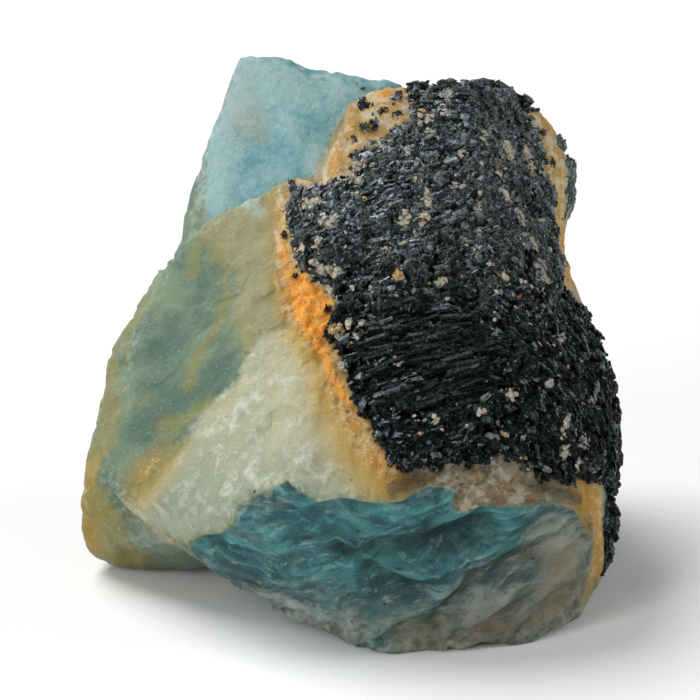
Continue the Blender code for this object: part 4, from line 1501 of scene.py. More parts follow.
@dataclass
class TourmalineMass:
    """A crust of tourmaline: a lumpy sheet over its outline, closed by a plain underside.

    A square grid is drawn onto a disk, ring by ring, and each ring is stretched to the outline. The
    top stands proud of the stone inside the outline and dives into the stone outside it.
    """

    name: str
    shape: StoneShape
    outline: Outline
    cells: int
    proud: float = 0.5
    bulge: float = 0.35
    lumps: float = 0.34
    ridges: float = 0.3
    steps: float = 0.32
    seed: int = 5
    rim: float = 0.9
    sink: float = 0.9
    thickness: float = 1.3
    ragged: float = 0.55
    # Rings of the underside, as shares of the way from the middle to the border
    under_rings: tuple[float, ...] = (0.97, 0.9, 0.75, 0.5, 0.25)
    # Half the flat map's width that the top takes, the strip below it, and what the underside takes
    map_half: float = 0.49
    map_strip: float = 0.1
    map_under: float = 0.09
    # What the build keeps of the top's points, for the crystals that grow on it
    points: Array = field(init=False, repr=False)
    picture: Array = field(init=False, repr=False)
    normals: Array = field(init=False, repr=False)
    density: Array = field(init=False, repr=False)
    depth: Array = field(init=False, repr=False)
    hollow: Array = field(init=False, repr=False)
    dust_and_top_light: Array = field(init=False, repr=False)

    def grid(self) -> tuple[Array, Array]:
        """Draws the square grid onto the outline.

        The larger of a point's two square coordinates is its ring, and the ratio of the two is its
        angle, an eighth of a turn to each side of the middle of that side of the square.

        Returns:
            Directions on the skin, and the places on the square from -1 to 1.
        """
        line = np.linspace(-1, 1, self.cells + 1)
        a, b = (part.ravel() for part in np.meshgrid(line, line, indexing="ij"))
        wide = np.abs(a) > np.abs(b)
        ring = np.where(wide, a, b)
        ratio = np.where(wide, b, a) / np.where(ring == 0, 1, ring)
        turn = np.where(wide, ratio * math.pi / 4, math.pi / 2 - ratio * math.pi / 4)
        turn = np.where(ring < 0, turn + math.pi, turn)
        ring = np.abs(ring)
        border = self.outline.border(turn) + self.rim
        flat = (ring * border)[:, None] * np.stack([np.cos(turn), np.sin(turn)], axis=1)
        return self.outline.from_map(flat), np.stack([a, b], axis=1)

    def relief(self, places: Array, depth: Array, rays: Array) -> Array:
        """Height of the crust's rough top.

        Lumps are noise in space, creased where another noise is zero, and ridges are creases of a noise
        drawn out along each sheaf. Steps are a saw-tooth of a noise, pits are where one is high, and
        grooves lie along their paths. Bare laths are less lumpy, and all of it fades at the border.

        Args:
            places: Rows of places on the smooth skin.
            depth: The distance inside the outline at each place.
            rays: The directions of the places.

        Returns:
            Millimetres above the smooth crust.
        """
        noise = SeededNoise(self.seed)
        picture = to_picture(places)
        angle = sheaf_angles(picture, noise)
        along = np.cos(angle) * picture[:, 0] + np.sin(angle) * picture[:, 1]
        across = np.cos(angle) * picture[:, 1] - np.sin(angle) * picture[:, 0]
        fibre = np.stack([along / 2.0, across / 0.45, picture[:, 2] / 0.8], axis=1)
        bed = lath_bed(picture)
        ridges = self.ridges * (0.5 - np.abs(noise.clouds(fibre, 2)))
        creased = noise.clouds(places / 1.6, 4) - 1.4 * np.abs(noise(places / 0.75)) + 0.4
        lumps = self.lumps * (1 - 0.6 * bed) * creased
        lumps = lumps + self.lumps * 1.3 * (1 - 0.5 * bed) * noise(places / 2.6 + 80)
        turn = 2.2 * noise.clouds(fibre * (0.8, 0.5, 0.6) + 60, 3)
        steps = self.steps * (turn - np.floor(turn) - 0.5)
        self.hollow = ease(noise.clouds(places / 0.95 + 20, 2), 0.28, 0.5) * (1 - 0.8 * bed)
        pits = -0.9 * self.hollow
        cut = np.zeros(len(places))
        for width, deep, path in GROOVES:
            groove = Streak(Tint.RUST, width, path).strength(self.shape, rays)
            cut = np.minimum(cut, -deep * ease(groove, -0.15, width / 2))
        return (lumps + ridges + steps + pits + cut) * ease(depth, -0.2, 0.5)

    def below(self, rays: Array) -> Array:
        """Places in the stone, under its skin by the sheet's thickness."""
        return HEART + rays * (self.shape.reach(rays)[0] - self.thickness)[:, None]

    def underside(self, rim: Array, rays: Array, first: int) -> tuple[list, list]:
        """Closes the sheet from below, by rings of the outline's own shape and a fan in the last.

        Args:
            rim: Numbers of the top's border points, in order round it.
            rays: The directions of these points.
            first: The number of the underside's first point.

        Returns:
            Arrays of places, and arrays of faces.
        """
        count = len(rim)
        flat = self.outline.to_map(rays)
        points, faces, ring = [], [], rim
        for share in self.under_rings:
            points.append(self.below(self.outline.from_map(flat * share)))
            inner = first + np.arange(count)
            faces.append(np.stack([ring, np.roll(ring, -1), np.roll(inner, -1), inner], axis=1)[:, ::-1])
            ring, first = inner, first + count
        points.append(self.below(self.outline.middle[None]))
        faces.append(np.stack([np.roll(ring, -1), ring, np.full(count, first)], axis=1))
        return points, faces

    def map_places(self, top: Array, count: int) -> Array:
        """Lays the faces on the flat map: the top as its square, and the underside in a strip below.

        Args:
            top: The places on the square from -1 to 1, for each corner of the top's quads.
            count: How many points the border has.

        Returns:
            A place for each corner, in the order of the faces.
        """
        levels = self.map_under * np.arange(len(self.under_rings) + 2) / (len(self.under_rings) + 1)
        lap = np.arange(count) / count
        after, between = lap + 1 / count, lap + 0.5 / count
        parts = [(top * self.map_half + 0.5) * (1, 1 - self.map_strip) + (0, self.map_strip)]
        for low, high in zip(levels[:-2], levels[1:-1]):
            parts.append(self.row([(lap, high), (after, high), (after, low), (lap, low)]))
        parts.append(self.row([(after, levels[-2]), (lap, levels[-2]), (between, levels[-1])]))
        return np.concatenate([part.reshape(-1, 2) for part in parts])

    @staticmethod
    def row(corners: Sequence[tuple[Array, float]]) -> Array:
        """Places of a row of faces, from the places along the row and the level of each corner."""
        return np.stack([np.stack([u, np.full(len(u), v)], axis=1) for u, v in corners], axis=1)

    def build(self, finish: Material) -> Piece:
        """Makes the sheet and its underside, and keeps the top's places for what grows on it.

        Inside the outline the top is the skin, plus the step up to the proud height, the bulge towards
        the middle and the relief. Outside it, the top sinks into the stone.

        Args:
            finish: The tourmaline.

        Returns:
            The closed sheet.
        """
        rays, flat = self.grid()
        places = self.shape.skin(rays)
        noise = SeededNoise(self.seed + 1)
        depth = self.outline.inside(rays) + self.ragged * (noise(places / 1.3) + 0.6 * noise(places / 0.5))
        lift = (self.proud + self.sink) * ease(depth, -0.5, 0.75) - self.sink
        top = self.shape.reach(rays)[0] + lift + self.bulge * ease(depth, 0.5, 5)
        top = top + self.relief(places, depth, rays)
        points = HEART + rays * top[:, None]
        side = self.cells + 1
        grid = np.arange(side * side).reshape(side, side)
        quads = np.stack([grid[:-1, :-1], grid[1:, :-1], grid[1:, 1:], grid[:-1, 1:]], axis=2).reshape(-1, 4)
        rim = np.concatenate([grid[:-1, 0], grid[-1, :-1], grid[:0:-1, -1], grid[0, :0:-1]])
        under_points, under_faces = self.underside(rim, rays[rim], side * side)
        every = np.concatenate([points, *under_points])
        piece = new_mesh(self.name, every, [quads, *under_faces], finish, True)
        add_map(piece, self.map_places(flat[quads], len(rim)))
        self.points, self.depth = points, depth
        self.normals, self.density = self.coarse_normals(places, side)
        self.picture = to_picture(points)
        # Greyer towards the top of the picture: partly dust, partly painted top light
        self.dust_and_top_light = ease(self.picture[:, 1], -3, 17)
        polish = 0.5 + 0.9 * SeededNoise(self.seed + 2)(mesh_places(piece) / 0.35)
        add_values(piece, "tone", polish.clip(0, 1))
        add_values(piece, "dust_and_top_light", np.append(self.dust_and_top_light, np.zeros(len(every) - len(points))))
        return piece

    @staticmethod
    def coarse_normals(places: Array, side: int) -> tuple[Array, Array]:
        """Outward normals of the smooth skin on the grid, and the area that each point stands for.

        Args:
            places: The grid's places, row by row.
            side: How many points a row of the grid has.

        Returns:
            Rows of normals, and an area for each.
        """
        sheet = places.reshape(side, side, 3)
        steps = np.cross(np.gradient(sheet, axis=0), np.gradient(sheet, axis=1)).reshape(-1, 3)
        area = np.linalg.norm(steps, axis=1)
        normals = steps / np.maximum(area, TINY)[:, None]
        outward = np.sign(np.einsum("ij,ij->i", normals, places - HEART))
        return normals * outward[:, None], area


def prism() -> tuple[Array, Array]:
    """A lath one unit long and two wide, with a rounded three-sided section.

    Six corners stand at even angles, every second one a little nearer the middle.

    Returns:
        Its corners and its quads.
    """
    sides, pulled_in = 6, 0.78
    k = np.arange(sides)
    turn = k * 2 * math.pi / sides
    wide = np.where(k % 2, pulled_in, 1.0)
    ring = np.stack([np.zeros(sides), np.cos(turn) * wide, np.sin(turn) * wide], axis=1)
    corners = np.concatenate([ring - (0.5, 0, 0), ring + (0.5, 0, 0)])
    walls = np.stack([k, (k + 1) % sides, (k + 1) % sides + sides, k + sides], axis=1)[:, ::-1]
    ends = np.array([[0, 1, 2, 3], [0, 3, 4, 5], [9, 8, 7, 6], [11, 10, 9, 6]])
    return corners, np.concatenate([walls, ends])


def pebble() -> tuple[Array, Array]:
    """A ball of twenty sides.

    Its twelve corners are those of three golden rectangles set crosswise. Three corners make a side
    when each is next to the others, and the side is turned round if it faces the middle.

    Returns:
        Its corners and its triangles.
    """
    golden = (1 + math.sqrt(5)) / 2
    flat = np.array([[-1, golden, 0], [1, golden, 0], [-1, -golden, 0], [1, -golden, 0]])
    corners = unit(np.concatenate([flat, np.roll(flat, 1, axis=1), np.roll(flat, 2, axis=1)]))
    apart = np.linalg.norm(corners[:, None] - corners[None], axis=2)
    # Next corners are 1.05 apart, and the ones after them 1.7
    close = (apart > 0) & (apart < 1.2)
    faces = np.array([
        (a, b, c) for a, b, c in itertools.combinations(range(len(corners)), 3)
        if close[a, b] and close[b, c] and close[a, c]
    ])
    first, second, third = (corners[faces[:, k]] for k in range(3))
    turned = np.einsum("ij,ij->i", np.cross(second - first, third - first), first)
    faces[turned < 0] = faces[turned < 0][:, ::-1]
    return corners, faces


def scatter(
    name: str, template: tuple[Array, Array], middles: Array, frames: Array,
    sizes: Array, jitter: float, seed: int, finish: Material, marks: dict[str, Array],
) -> Piece:
    """Joins many small copies of a shape into one piece.

    Each corner goes to its copy's middle plus the copy's three axes times the corner's own place and
    the copy's three sizes. Corners are shaken a little, and the ends of a long shape are cut askew.

    Args:
        name: The piece's name.
        template: Corners and faces of the shape.
        middles: Where the copies are, one row each.
        frames: Three axes of length one for each copy.
        sizes: Three sizes for each copy.
        jitter: How far corners are shaken across, as a share of the size. Along, it is less.
        seed: For the shaking.
        finish: The piece's material.
        marks: What is stored on each copy's corners, by its name: a number for each copy.

    Returns:
        The joined piece.
    """
    corners, faces = template
    shake_along, askew = 0.4, 0.35
    draw = np.random.default_rng(seed)
    shake = draw.normal(scale=jitter, size=(len(middles), *corners.shape))
    shaken = corners[None] + shake * (shake_along, 1, 1)
    skew = draw.normal(scale=askew, size=(len(middles), 1, 2))
    shaken[..., 0] += (shaken[..., 1:] * skew).sum(axis=2) * sizes[:, None, 1] / sizes[:, None, 0]
    spread = np.einsum("nck,nkj->ncj", shaken * sizes[:, None], frames)
    points = (middles[:, None] + spread).reshape(-1, 3)
    numbers = faces[None] + np.arange(len(middles))[:, None, None] * len(corners)
    piece = new_mesh(name, points, [numbers.reshape(-1, faces.shape[1])], finish, False)
    side = math.ceil(math.sqrt(len(middles) * len(faces)))
    cell = np.arange(len(middles) * len(faces))
    base = np.stack([cell % side, cell // side], axis=1)[:, None] / side
    square = np.array([[0.1, 0.1], [0.9, 0.1], [0.9, 0.9], [0.1, 0.9]])[: faces.shape[1]] / side
    add_map(piece, (base + square).reshape(-1, 2))
    for mark, values in marks.items():
        add_values(piece, mark, np.repeat(values, len(corners)))
    return piece


# Patches of feldspar in the crust: (right, up) of the middle, half the length and half the width,
# the angle in degrees, and the tone from grey (0) over cream to orange (1)
PATCHES = (
    (8.2, 21.7, 0.45, 0.4, 0, 0.1), (6.5, 19.6, 0.75, 0.4, 35, 0.4), (6.8, 18.6, 0.4, 0.3, 0, 0.45),
    (8.2, 20.2, 0.45, 0.3, 20, 0.1), (9.0, 13.9, 0.55, 0.35, 10, 0.05), (6.5, 12.9, 0.8, 0.3, 95, 0.35),
    (6.3, 11.0, 0.6, 0.3, 80, 0.4), (4.0, 6.5, 0.6, 0.36, 80, 0.97), (-1.2, 1.8, 0.6, 0.5, 0, 0.75),
    (-1.7, 10.9, 0.8, 0.55, 20, 0.3), (0.0, 2.4, 0.3, 0.25, 0, 0.5), (1.1, 2.2, 0.3, 0.2, 0, 0.45),
    (0.5, 1.1, 0.3, 0.2, 0, 0.4), (4.0, -1.0, 0.3, 0.4, 60, 0.4), (7.3, -5.9, 0.28, 0.28, 0, 0.3),
    (12.2, -7.4, 0.5, 0.28, 10, 0.08), (13.7, -4.0, 0.25, 0.5, 0, 0.35), (11.1, -5.2, 0.3, 0.2, 0, 0.4),
    (16.2, 6.8, 0.95, 0.5, 100, 0.15), (16.8, 6.1, 0.3, 0.25, 0, 0.7), (14.1, 4.5, 0.3, 0.22, 0, 0.8),
    (13.1, 6.4, 0.35, 0.3, 0, 0.6), (17.9, 1.0, 0.4, 0.3, 70, 0.35), (20.6, -4.3, 0.35, 0.3, 90, 0.2),
    (19.9, -7.8, 0.6, 0.5, 60, 0.12), (18.3, -6.6, 1.0, 0.3, 80, 0.35), (18.4, -8.6, 0.6, 0.3, 70, 0.4),
    (13.6, 16.8, 1.0, 0.3, 110, 0.4), (15.2, 16.2, 1.3, 0.3, 108, 0.5), (0.3, 14.4, 0.8, 0.4, 10, 0.2),
    (-3.4, 12.5, 1.1, 0.3, 15, 0.35), (4.6, 11.0, 0.9, 0.35, 85, 0.35), (7.9, 5.7, 0.4, 0.3, 30, 0.4),
    (-1.4, 6.8, 0.7, 0.5, -30, 0.35), (12.8, 15.5, 0.9, 0.3, 75, 0.42), (11.9, 7.4, 0.25, 0.2, 0, 0.4),
    (7.6, 6.8, 0.22, 0.2, 0, 0.75), (14.6, 11.2, 0.7, 0.25, 105, 0.4), (15.6, 9.0, 0.7, 0.25, 115, 0.45),
    (13.2, 13.0, 0.5, 0.25, 60, 0.4), (10.9, 12.2, 0.4, 0.22, 30, 0.3), (3.1, 8.4, 0.35, 0.25, 20, 0.3),
    (-2.9, 9.2, 0.5, 0.3, 40, 0.45), (9.9, 9.4, 0.3, 0.2, 0, 0.2), (1.9, 5.2, 0.3, 0.22, 0, 0.35),
    (15.2, 1.9, 0.3, 0.22, 0, 0.3), (16.9, -2.8, 0.35, 0.2, 100, 0.35), (9.6, 16.7, 0.4, 0.25, 20, 0.3),
    (5.0, 17.0, 0.35, 0.25, 40, 0.45), (11.7, 18.6, 0.45, 0.22, 50, 0.35), (19.3, -9.9, 0.5, 0.25, 80, 0.5),
    (-2.7, 7.1, 0.9, 0.3, -50, 0.45), (-1.6, 5.0, 0.8, 0.3, -55, 0.5), (-0.6, -1.6, 0.7, 0.22, -60, 0.45),
    (0.6, 15.6, 0.9, 0.35, 20, 0.3), (2.4, 17.5, 0.6, 0.25, 35, 0.35),
)
# Crumbs of tourmaline on the ochre beside the crust: (right, up) of the middle and half the two sides
ISLANDS = (
    (1.1, 20.8, 0.42, 0.7), (2.0, 20.5, 0.25, 0.25), (2.9, 20.0, 0.5, 0.35), (1.1, 18.7, 0.38, 0.38),
    (-0.5, 14.5, 0.38, 0.35), (0.2, 13.9, 0.22, 0.3), (3.6, 20.9, 0.3, 0.2), (0.4, 17.8, 0.25, 0.2),
    (2.1, 18.9, 0.4, 0.6), (3.9, 19.7, 0.5, 0.4), (0.2, 16.6, 0.35, 0.4), (-4.9, 14.0, 0.3, 0.25),
    (-5.4, 9.4, 0.22, 0.3), (-4.6, 6.2, 0.25, 0.2), (-1.9, 3.3, 0.3, 0.2),
    (16.9, 15.5, 0.25, 0.5), (17.3, 12.4, 0.25, 0.4), (17.4, 10.2, 0.3, 0.45), (16.2, 18.2, 0.3, 0.3),
)


@dataclass(frozen=True)
class Sizes:
    """Random sizes whose logarithms are spread evenly to both sides of a middle one, within limits."""

    middle: float
    spread: float
    least: float
    most: float


@dataclass
class CrystalGrowth:
    """Laths and granules of tourmaline on the crust, and pale grains caught between them."""

    crust: TourmalineMass
    laths: int = 2300
    bed_laths: int = 420
    granules: int = 5600
    loose_grains: int = 700
    # Lengths and half widths of the laths, in the crust and bare in their bed
    lath_length: Sizes = Sizes(0.75, 0.4, 0.3, 1.1)
    bed_length: Sizes = Sizes(1.7, 0.4, 0.3, 2.6)
    lath_width: Sizes = Sizes(0.16, 0.35, 0.09, 0.36)
    bed_width: Sizes = Sizes(0.22, 0.35, 0.09, 0.36)
    # Half the size of a granule, and its three sides as shares of that
    granule: Sizes = Sizes(0.155, 0.5, 0.07, 0.5)
    granule_sides: tuple[float, float, float] = (1.4, 1, 0.75)
    # Crumbs beside the crust: how many for the product of an island's half sides, and their half sizes
    crumbs_least: int = 10
    crumb_density: float = 240.0
    crumb_size: tuple[float, float] = (0.1, 0.2)
    # Half the size of a pale grain, its three sides, and how many fill a patch
    grain: float = 0.15
    grain_sides: tuple[float, float, float] = (1.6, 1.2, 0.5)
    cluster_least: int = 8
    cluster_density: float = 4.0
    # Tones of the loose grains, and how often each comes
    loose_tones: tuple[float, ...] = (0.1, 0.35, 0.5, 0.72)
    loose_odds: tuple[float, ...] = (0.2, 0.3, 0.25, 0.25)
    seed: int = 41

    def frames(self, spots: Array, spread: float, draw: np.random.Generator) -> Array:
        """Axes for crystals at points of the crust: along the sheaf, across it, and outwards.

        The sheaf's line on the picture is laid into the skin there. It is turned by a random angle of
        the given spread, and tipped a sixth as much.

        Args:
            spots: Numbers of the crust's points.
            spread: How far the crystals turn from their sheaf, in radians.
            draw: Where the random numbers come from.

        Returns:
            Three rows of length one for each crystal.
        """
        normal = self.crust.normals[spots]
        angle = sheaf_angles(self.crust.picture[spots], SeededNoise(self.crust.seed))
        angle = angle + draw.normal(scale=spread, size=len(spots))
        line = np.cos(angle)[:, None] * RIGHT + np.sin(angle)[:, None] * UP
        line = line - (line * normal).sum(axis=1)[:, None] * normal
        line = unit(line + 1e-6) + normal * draw.normal(scale=spread / 6, size=(len(spots), 1))
        line = unit(line)
        across = unit(np.cross(normal, line))
        return np.stack([line, across, np.cross(line, across)], axis=1)

    def in_patches(self) -> Array:
        """Which of the crust's points lie under a patch of feldspar.

        Along and across each patch, a point's distance from its middle counts in half lengths and half
        widths, and the point is under the patch when the two together are little more than one. Points
        that face away from the viewer are under none.

        Returns:
            One there, and zero elsewhere.
        """
        anchors = np.array(PATCHES)
        lean = np.radians(anchors[:, 4])
        right = self.crust.picture[:, :1] - anchors[:, 0]
        up = self.crust.picture[:, 1:2] - anchors[:, 1]
        along = (right * np.cos(lean) + up * np.sin(lean)) / anchors[:, 2]
        across = (up * np.cos(lean) - right * np.sin(lean)) / anchors[:, 3]
        return (np.hypot(along, across).min(axis=1) < 1.1) * (self.crust.normals @ NEAR > 0)

    def raised(self, spots: Array, lift: Array) -> Array:
        """Places over points of the crust, by a lift in millimetres along its normals."""
        return self.crust.points[spots] + self.crust.normals[spots] * lift[:, None]

    @staticmethod
    def pick(count: int, draw: np.random.Generator, weights: Array) -> Array:
        """Numbers of random points of the crust, as likely as their weights."""
        return draw.choice(len(weights), count, p=weights / weights.sum())

    @staticmethod
    def sizes_of(draw: np.random.Generator, bare: Array, crust: Sizes, bed: Sizes) -> Array:
        """Random sizes for laths of two kinds.

        Args:
            draw: Where the random numbers come from.
            bare: One for laths in the bed, and zero for those in the crust.
            crust: The sizes in the crust.
            bed: The sizes in the bed, which have the same spread and the same least.

        Returns:
            A size for each lath.
        """
        middles = np.where(bare, math.log(bed.middle), math.log(crust.middle))
        sizes = np.exp(draw.normal(middles, crust.spread))
        return sizes.clip(crust.least, np.where(bare, bed.most, crust.most))

    def grow_laths(self, finish: Material) -> Piece:
        """Slim prisms along the sheaves, sunk a little into the crust, longest in their bed.

        Args:
            finish: The tourmaline.

        Returns:
            The laths as one piece.
        """
        draw = np.random.default_rng(self.seed)
        bed = lath_bed(self.crust.picture) * (self.crust.normals @ NEAR > 0)
        inner = (self.crust.depth > 0.3) * self.crust.density
        open_skin = inner * (1 - self.crust.hollow) * (1 - 0.9 * self.in_patches())
        anywhere = self.pick(self.laths, draw, open_skin)
        bare = self.pick(self.bed_laths, draw, inner * bed)
        frames = np.concatenate([self.frames(anywhere, 0.3, draw), self.frames(bare, 0.1, draw)])
        spots = np.concatenate([anywhere, bare])
        long = np.repeat([0, 1], [self.laths, self.bed_laths])
        length = self.sizes_of(draw, long, self.lath_length, self.bed_length)
        width = self.sizes_of(draw, long, self.lath_width, self.bed_width)
        lift = width * draw.uniform(-0.8, 0.4, len(spots))
        middles = self.crust.points[spots] + frames[:, 2] * lift[:, None]
        sizes = np.stack([length, width, width * draw.uniform(0.6, 1, len(spots))], axis=1)
        marks = {"tone": draw.uniform(0, np.where(long, 0.8, 1)), "dust_and_top_light": self.crust.dust_and_top_light[spots]}
        return scatter("tourmaline_laths", prism(), middles, frames, sizes, 0.08, self.seed, finish, marks)

    def crumbs(self, shape: StoneShape, draw: np.random.Generator) -> tuple[Array, Array]:
        """Places and random axes of the crumbs on the ochre, strewn about the middle of each island.

        Args:
            shape: The stone that they lie on.
            draw: Where the random numbers come from.

        Returns:
            Rows of places, and three rows of axes for each.
        """
        middles, frames = [], []
        for right, up, wide, tall in ISLANDS:
            count = max(self.crumbs_least, round(wide * tall * self.crumb_density))
            spread = draw.normal(scale=0.45, size=(count, 2)) * (wide, tall)
            rays = shape.lay([tuple(spot) for spot in spread + (right, up)])
            middles.append(shape.skin(rays) + rays * draw.uniform(-0.05, 0.12, (count, 1)))
            frames.append(unit(draw.normal(size=(count, 3, 3))))
        return np.concatenate(middles), np.concatenate(frames)

    def grow_granules(self, shape: StoneShape, finish: Material) -> Piece:
        """Broken grains over the crust, turned far from their sheaves, and crumbs of them beside it.

        Args:
            shape: The stone that the crumbs lie on.
            finish: The tourmaline.

        Returns:
            The granules as one piece.
        """
        draw = np.random.default_rng(self.seed + 1)
        bed = lath_bed(self.crust.picture)
        weights = (self.crust.depth > 0.05) * self.crust.density * (1 - 0.9 * self.crust.hollow)
        weights = weights * (1 - 0.75 * bed) * (1 - 0.6 * self.in_patches())
        spots = self.pick(self.granules, draw, weights)
        size = np.exp(draw.normal(math.log(self.granule.middle), self.granule.spread, self.granules))
        size = size.clip(self.granule.least, self.granule.most)
        middles = self.raised(spots, size * draw.uniform(-0.6, 0.5, self.granules))
        frames = self.frames(spots, 0.8, draw)
        crumb_middles, crumb_frames = self.crumbs(shape, draw)
        crumb_size = draw.uniform(*self.crumb_size, len(crumb_middles))
        size = np.concatenate([size, crumb_size])
        sizes = size[:, None] * draw.uniform(0.6, 1.3, (len(size), 3))
        dust_and_top_light = np.append(self.crust.dust_and_top_light[spots], np.full(len(crumb_size), 0.5))
        return scatter(
            "tourmaline_granules", pebble(), np.concatenate([middles, crumb_middles]),
            np.concatenate([frames, crumb_frames]), sizes * self.granule_sides, 0.2, self.seed, finish,
            {"tone": draw.uniform(size=len(sizes)), "dust_and_top_light": dust_and_top_light},
        )

    def fill_patches(self, draw: np.random.Generator) -> tuple[Array, Array]:
        """Strews grains evenly over the oval of each patch, and finds the crust's points under them.

        The root of an even random number, times half a side, is a grain's way from the oval's middle.

        Args:
            draw: Where the random numbers come from.

        Returns:
            Numbers of the crust's points, and a tone for each.
        """
        seen = self.crust.normals @ NEAR > 0.05
        spots, tones = [], []
        for right, up, long, wide, degrees, tone in PATCHES:
            count = max(self.cluster_least, round(long * wide / self.grain**2 * self.cluster_density))
            reach = np.sqrt(draw.uniform(size=count))
            turn = draw.uniform(0, 2 * math.pi, count)
            s, t = reach * np.cos(turn) * long, reach * np.sin(turn) * wide
            lean = math.radians(degrees)
            u = right + s * math.cos(lean) - t * math.sin(lean)
            v = up + s * math.sin(lean) + t * math.cos(lean)
            apart = np.hypot(self.crust.picture[:, 0] - u[:, None], self.crust.picture[:, 1] - v[:, None])
            # Points that the viewer can't see count as ten millimetres farther
            spots.append((apart + 10.0 * ~seen).argmin(axis=1))
            tones.append(tone + draw.normal(scale=0.1, size=count))
        return np.concatenate(spots), np.concatenate(tones)

    def grow_feldspar(self, finish: Material) -> Piece:
        """Pale grains: clusters that fill the named patches, and loose ones all over.

        Loose ones are more frequent near the border in the crust's upper part, and at its upper right.

        Args:
            finish: The feldspar.

        Returns:
            The grains as one piece.
        """
        draw = np.random.default_rng(self.seed + 2)
        spots, tones = self.fill_patches(draw)
        u, v = self.crust.picture[:, 0], self.crust.picture[:, 1]
        mixed = 1 + 5 * ease(self.crust.depth, 2.2, 0.4) * (v > 5) * (u < 16)
        mixed = mixed + 1.5 * ease(u, 12, 15) * (v > 2)
        mixed *= (self.crust.depth > 0.1) * self.crust.density * (1 - 0.8 * lath_bed(self.crust.picture))
        spots = np.append(spots, self.pick(self.loose_grains, draw, mixed))
        tones = np.append(tones, draw.choice(self.loose_tones, self.loose_grains, p=self.loose_odds))
        size = np.exp(draw.normal(math.log(self.grain), 0.25, len(spots)))
        size[-self.loose_grains :] *= draw.uniform(0.5, 1.2, self.loose_grains)
        sizes = size[:, None] * draw.uniform(0.6, 1.4, (len(spots), 3)) * self.grain_sides
        middles = self.raised(spots, size * draw.uniform(-0.3, 0.4, len(spots)))
        frames, marks = self.frames(spots, 1.2, draw), {"tone": tones.clip(0, 1)}
        return scatter("feldspar_grains", pebble(), middles, frames, sizes, 0.22, self.seed, finish, marks)


# Name, direction as a place, strength, and width in degrees
SOFT_LIGHTS = (
    ("back key", (-190, 170, 330), 2.7, 40),
    ("left fill", (-300, -260, 150), 1.1, 34),
    ("right rim", (320, 40, 180), 0.9, 24),
)


# Name, place, width and length in millimetres, and power
STRIP_LAMPS = (
    ("left strip", (-200, -180, 260), (30, 220), 0.1),
    ("right strip", (170, -200, 240), (20, 160), 0.06),
)


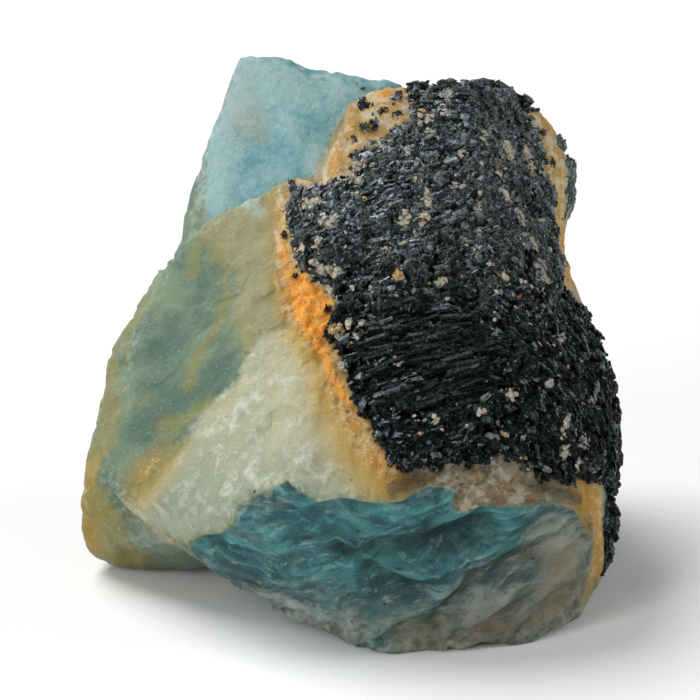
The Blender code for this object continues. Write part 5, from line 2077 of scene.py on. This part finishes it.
@dataclass
class Studio:
    """A pale floor, soft light from above and the camera at the picture's viewing angle."""

    floor_side: float = 4000.0
    # The floor is this little below the stone, so that the two don't flicker into each other
    floor_drop: float = 0.02
    floor_colour: tuple[float, float, float, float] = (0.97, 0.97, 0.97, 1)
    floor_roughness: float = 0.9
    room_colour: tuple[float, float, float, float] = (0.95, 0.98, 1, 1)
    room_strength: float = 0.16

    def build(self) -> None:
        """Makes the floor, the room's light, the lamps and the camera."""
        self.lay_floor()
        world = bpy.data.worlds.new("soft room")
        world.use_nodes = True
        world.node_tree.nodes["Background"].inputs["Color"].default_value = self.room_colour
        world.node_tree.nodes["Background"].inputs["Strength"].default_value = self.room_strength
        bpy.context.scene.world = world
        for name, place, strength, width in SOFT_LIGHTS:
            self.lamp(name, "SUN", place, energy=strength, angle=math.radians(width))
        for name, place, (wide, long), power in STRIP_LAMPS:
            sides = {"shape": "RECTANGLE", "size": wide * MM, "size_y": long * MM}
            self.lamp(name, "AREA", place, energy=power, **sides)
        self.seat_viewer()

    def lay_floor(self) -> None:
        """Makes the floor as one large square."""
        bench = NodeBench("pale floor")
        bench.dress("Base Color", self.floor_colour)
        bench.dress("Roughness", self.floor_roughness)
        half, low = self.floor_side / 2, -self.floor_drop
        corners = np.array([[-half, -half, low], [half, -half, low], [half, half, low], [-half, half, low]])
        floor = new_mesh("studio_floor", corners, [np.array([[0, 1, 2, 3]])], bench.material, False)

    def seat_viewer(self) -> None:
        """Makes the camera, which looks down on the stone by the view's tilt."""
        camera = bpy.data.cameras.new("viewer")
        camera.lens, camera.sensor_width = LENS, SENSOR
        seat = bpy.data.objects.new("viewer", camera)
        seat.location = to_metres(PICTURE_MIDDLE + NEAR * VIEW_DISTANCE)
        seat.rotation_euler = (math.pi / 2 - VIEW_TILT, 0, 0)
        bpy.context.scene.collection.objects.link(seat)
        bpy.context.scene.camera = seat
        bpy.context.scene.view_settings.view_transform = "Standard"

    @staticmethod
    def lamp(name: str, kind: str, place: tuple[float, float, float], **settings: float | str) -> None:
        """Hangs a lamp and turns it to the middle of the stone.

        Args:
            name: Its name.
            kind: SUN for light that is even over the whole floor, or AREA for a strip that glints.
            place: Where it hangs, as (across, back, up).
            settings: Its strength and its sides or its width in the sky.
        """
        light = bpy.data.lights.new(name, kind)
        for key, value in settings.items():
            setattr(light, key, value)
        holder = bpy.data.objects.new(name, light)
        holder.location = to_metres(np.array(place, float))
        way = to_metres(PICTURE_MIDDLE) - np.array(holder.location)
        turn = math.atan2(way[0], -way[1]) + math.pi
        holder.rotation_euler = (math.atan2(np.hypot(way[0], way[1]), -way[2]), 0, turn)
        bpy.context.scene.collection.objects.link(holder)


def hand_over(piece: Piece, slot: str, *nodes: str) -> None:
    """Makes a piece ride on the one body, and hides the nodes that it stands for.

    Args:
        piece: The piece.
        slot: The finish's name in the library. Not used.
        nodes: The nodes that the piece stands for.
    """
    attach(piece, "root")
    if nodes:
        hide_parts(*nodes)
    LOG.info("%s: %d faces", piece.name, len(piece.data.polygons))


def main() -> None:
    """Builds the stone, the tourmaline, the grains and the studio, in this order."""
    logging.basicConfig(level=logging.INFO, format="%(message)s")
    beryl, schorl = BerylFinish().make(), TourmalineFinish().make()
    shape = StoneShape(BLOCKS)
    crust_line, flank_line, sliver_line = (
        Outline(shape.lay(line)) for line in (CRUST_OUTLINE, FLANK_OUTLINE, SLIVER_OUTLINE)
    )
    stone = AquamarineStone(shape, (crust_line, flank_line, sliver_line))
    hand_over(stone.build(beryl), "beryl", "aquamarine")
    crust = TourmalineMass("tourmaline_crust_top", shape, crust_line, 290)
    hand_over(crust.build(schorl), "black_tourmaline", "tourmaline_crust")
    flank = TourmalineMass("tourmaline_crust_flank", shape, flank_line, 110, seed=8, bulge=0.0, ragged=0.3)
    hand_over(flank.build(schorl), "black_tourmaline")
    sliver = TourmalineMass(
        "tourmaline_sliver_top", shape, sliver_line, 80, proud=0.3, bulge=0.1, lumps=0.16, ridges=0.15,
        seed=9, rim=0.5, sink=0.6, ragged=0.25,
    )
    hand_over(sliver.build(schorl), "black_tourmaline", "tourmaline_sliver")
    growth = CrystalGrowth(crust)
    hand_over(growth.grow_laths(schorl), "black_tourmaline")
    hand_over(growth.grow_granules(shape, schorl), "black_tourmaline")
    hand_over(growth.grow_feldspar(FeldsparFinish().make()), "feldspar")
    Studio().build()


if __name__ == "__main__":
    main()
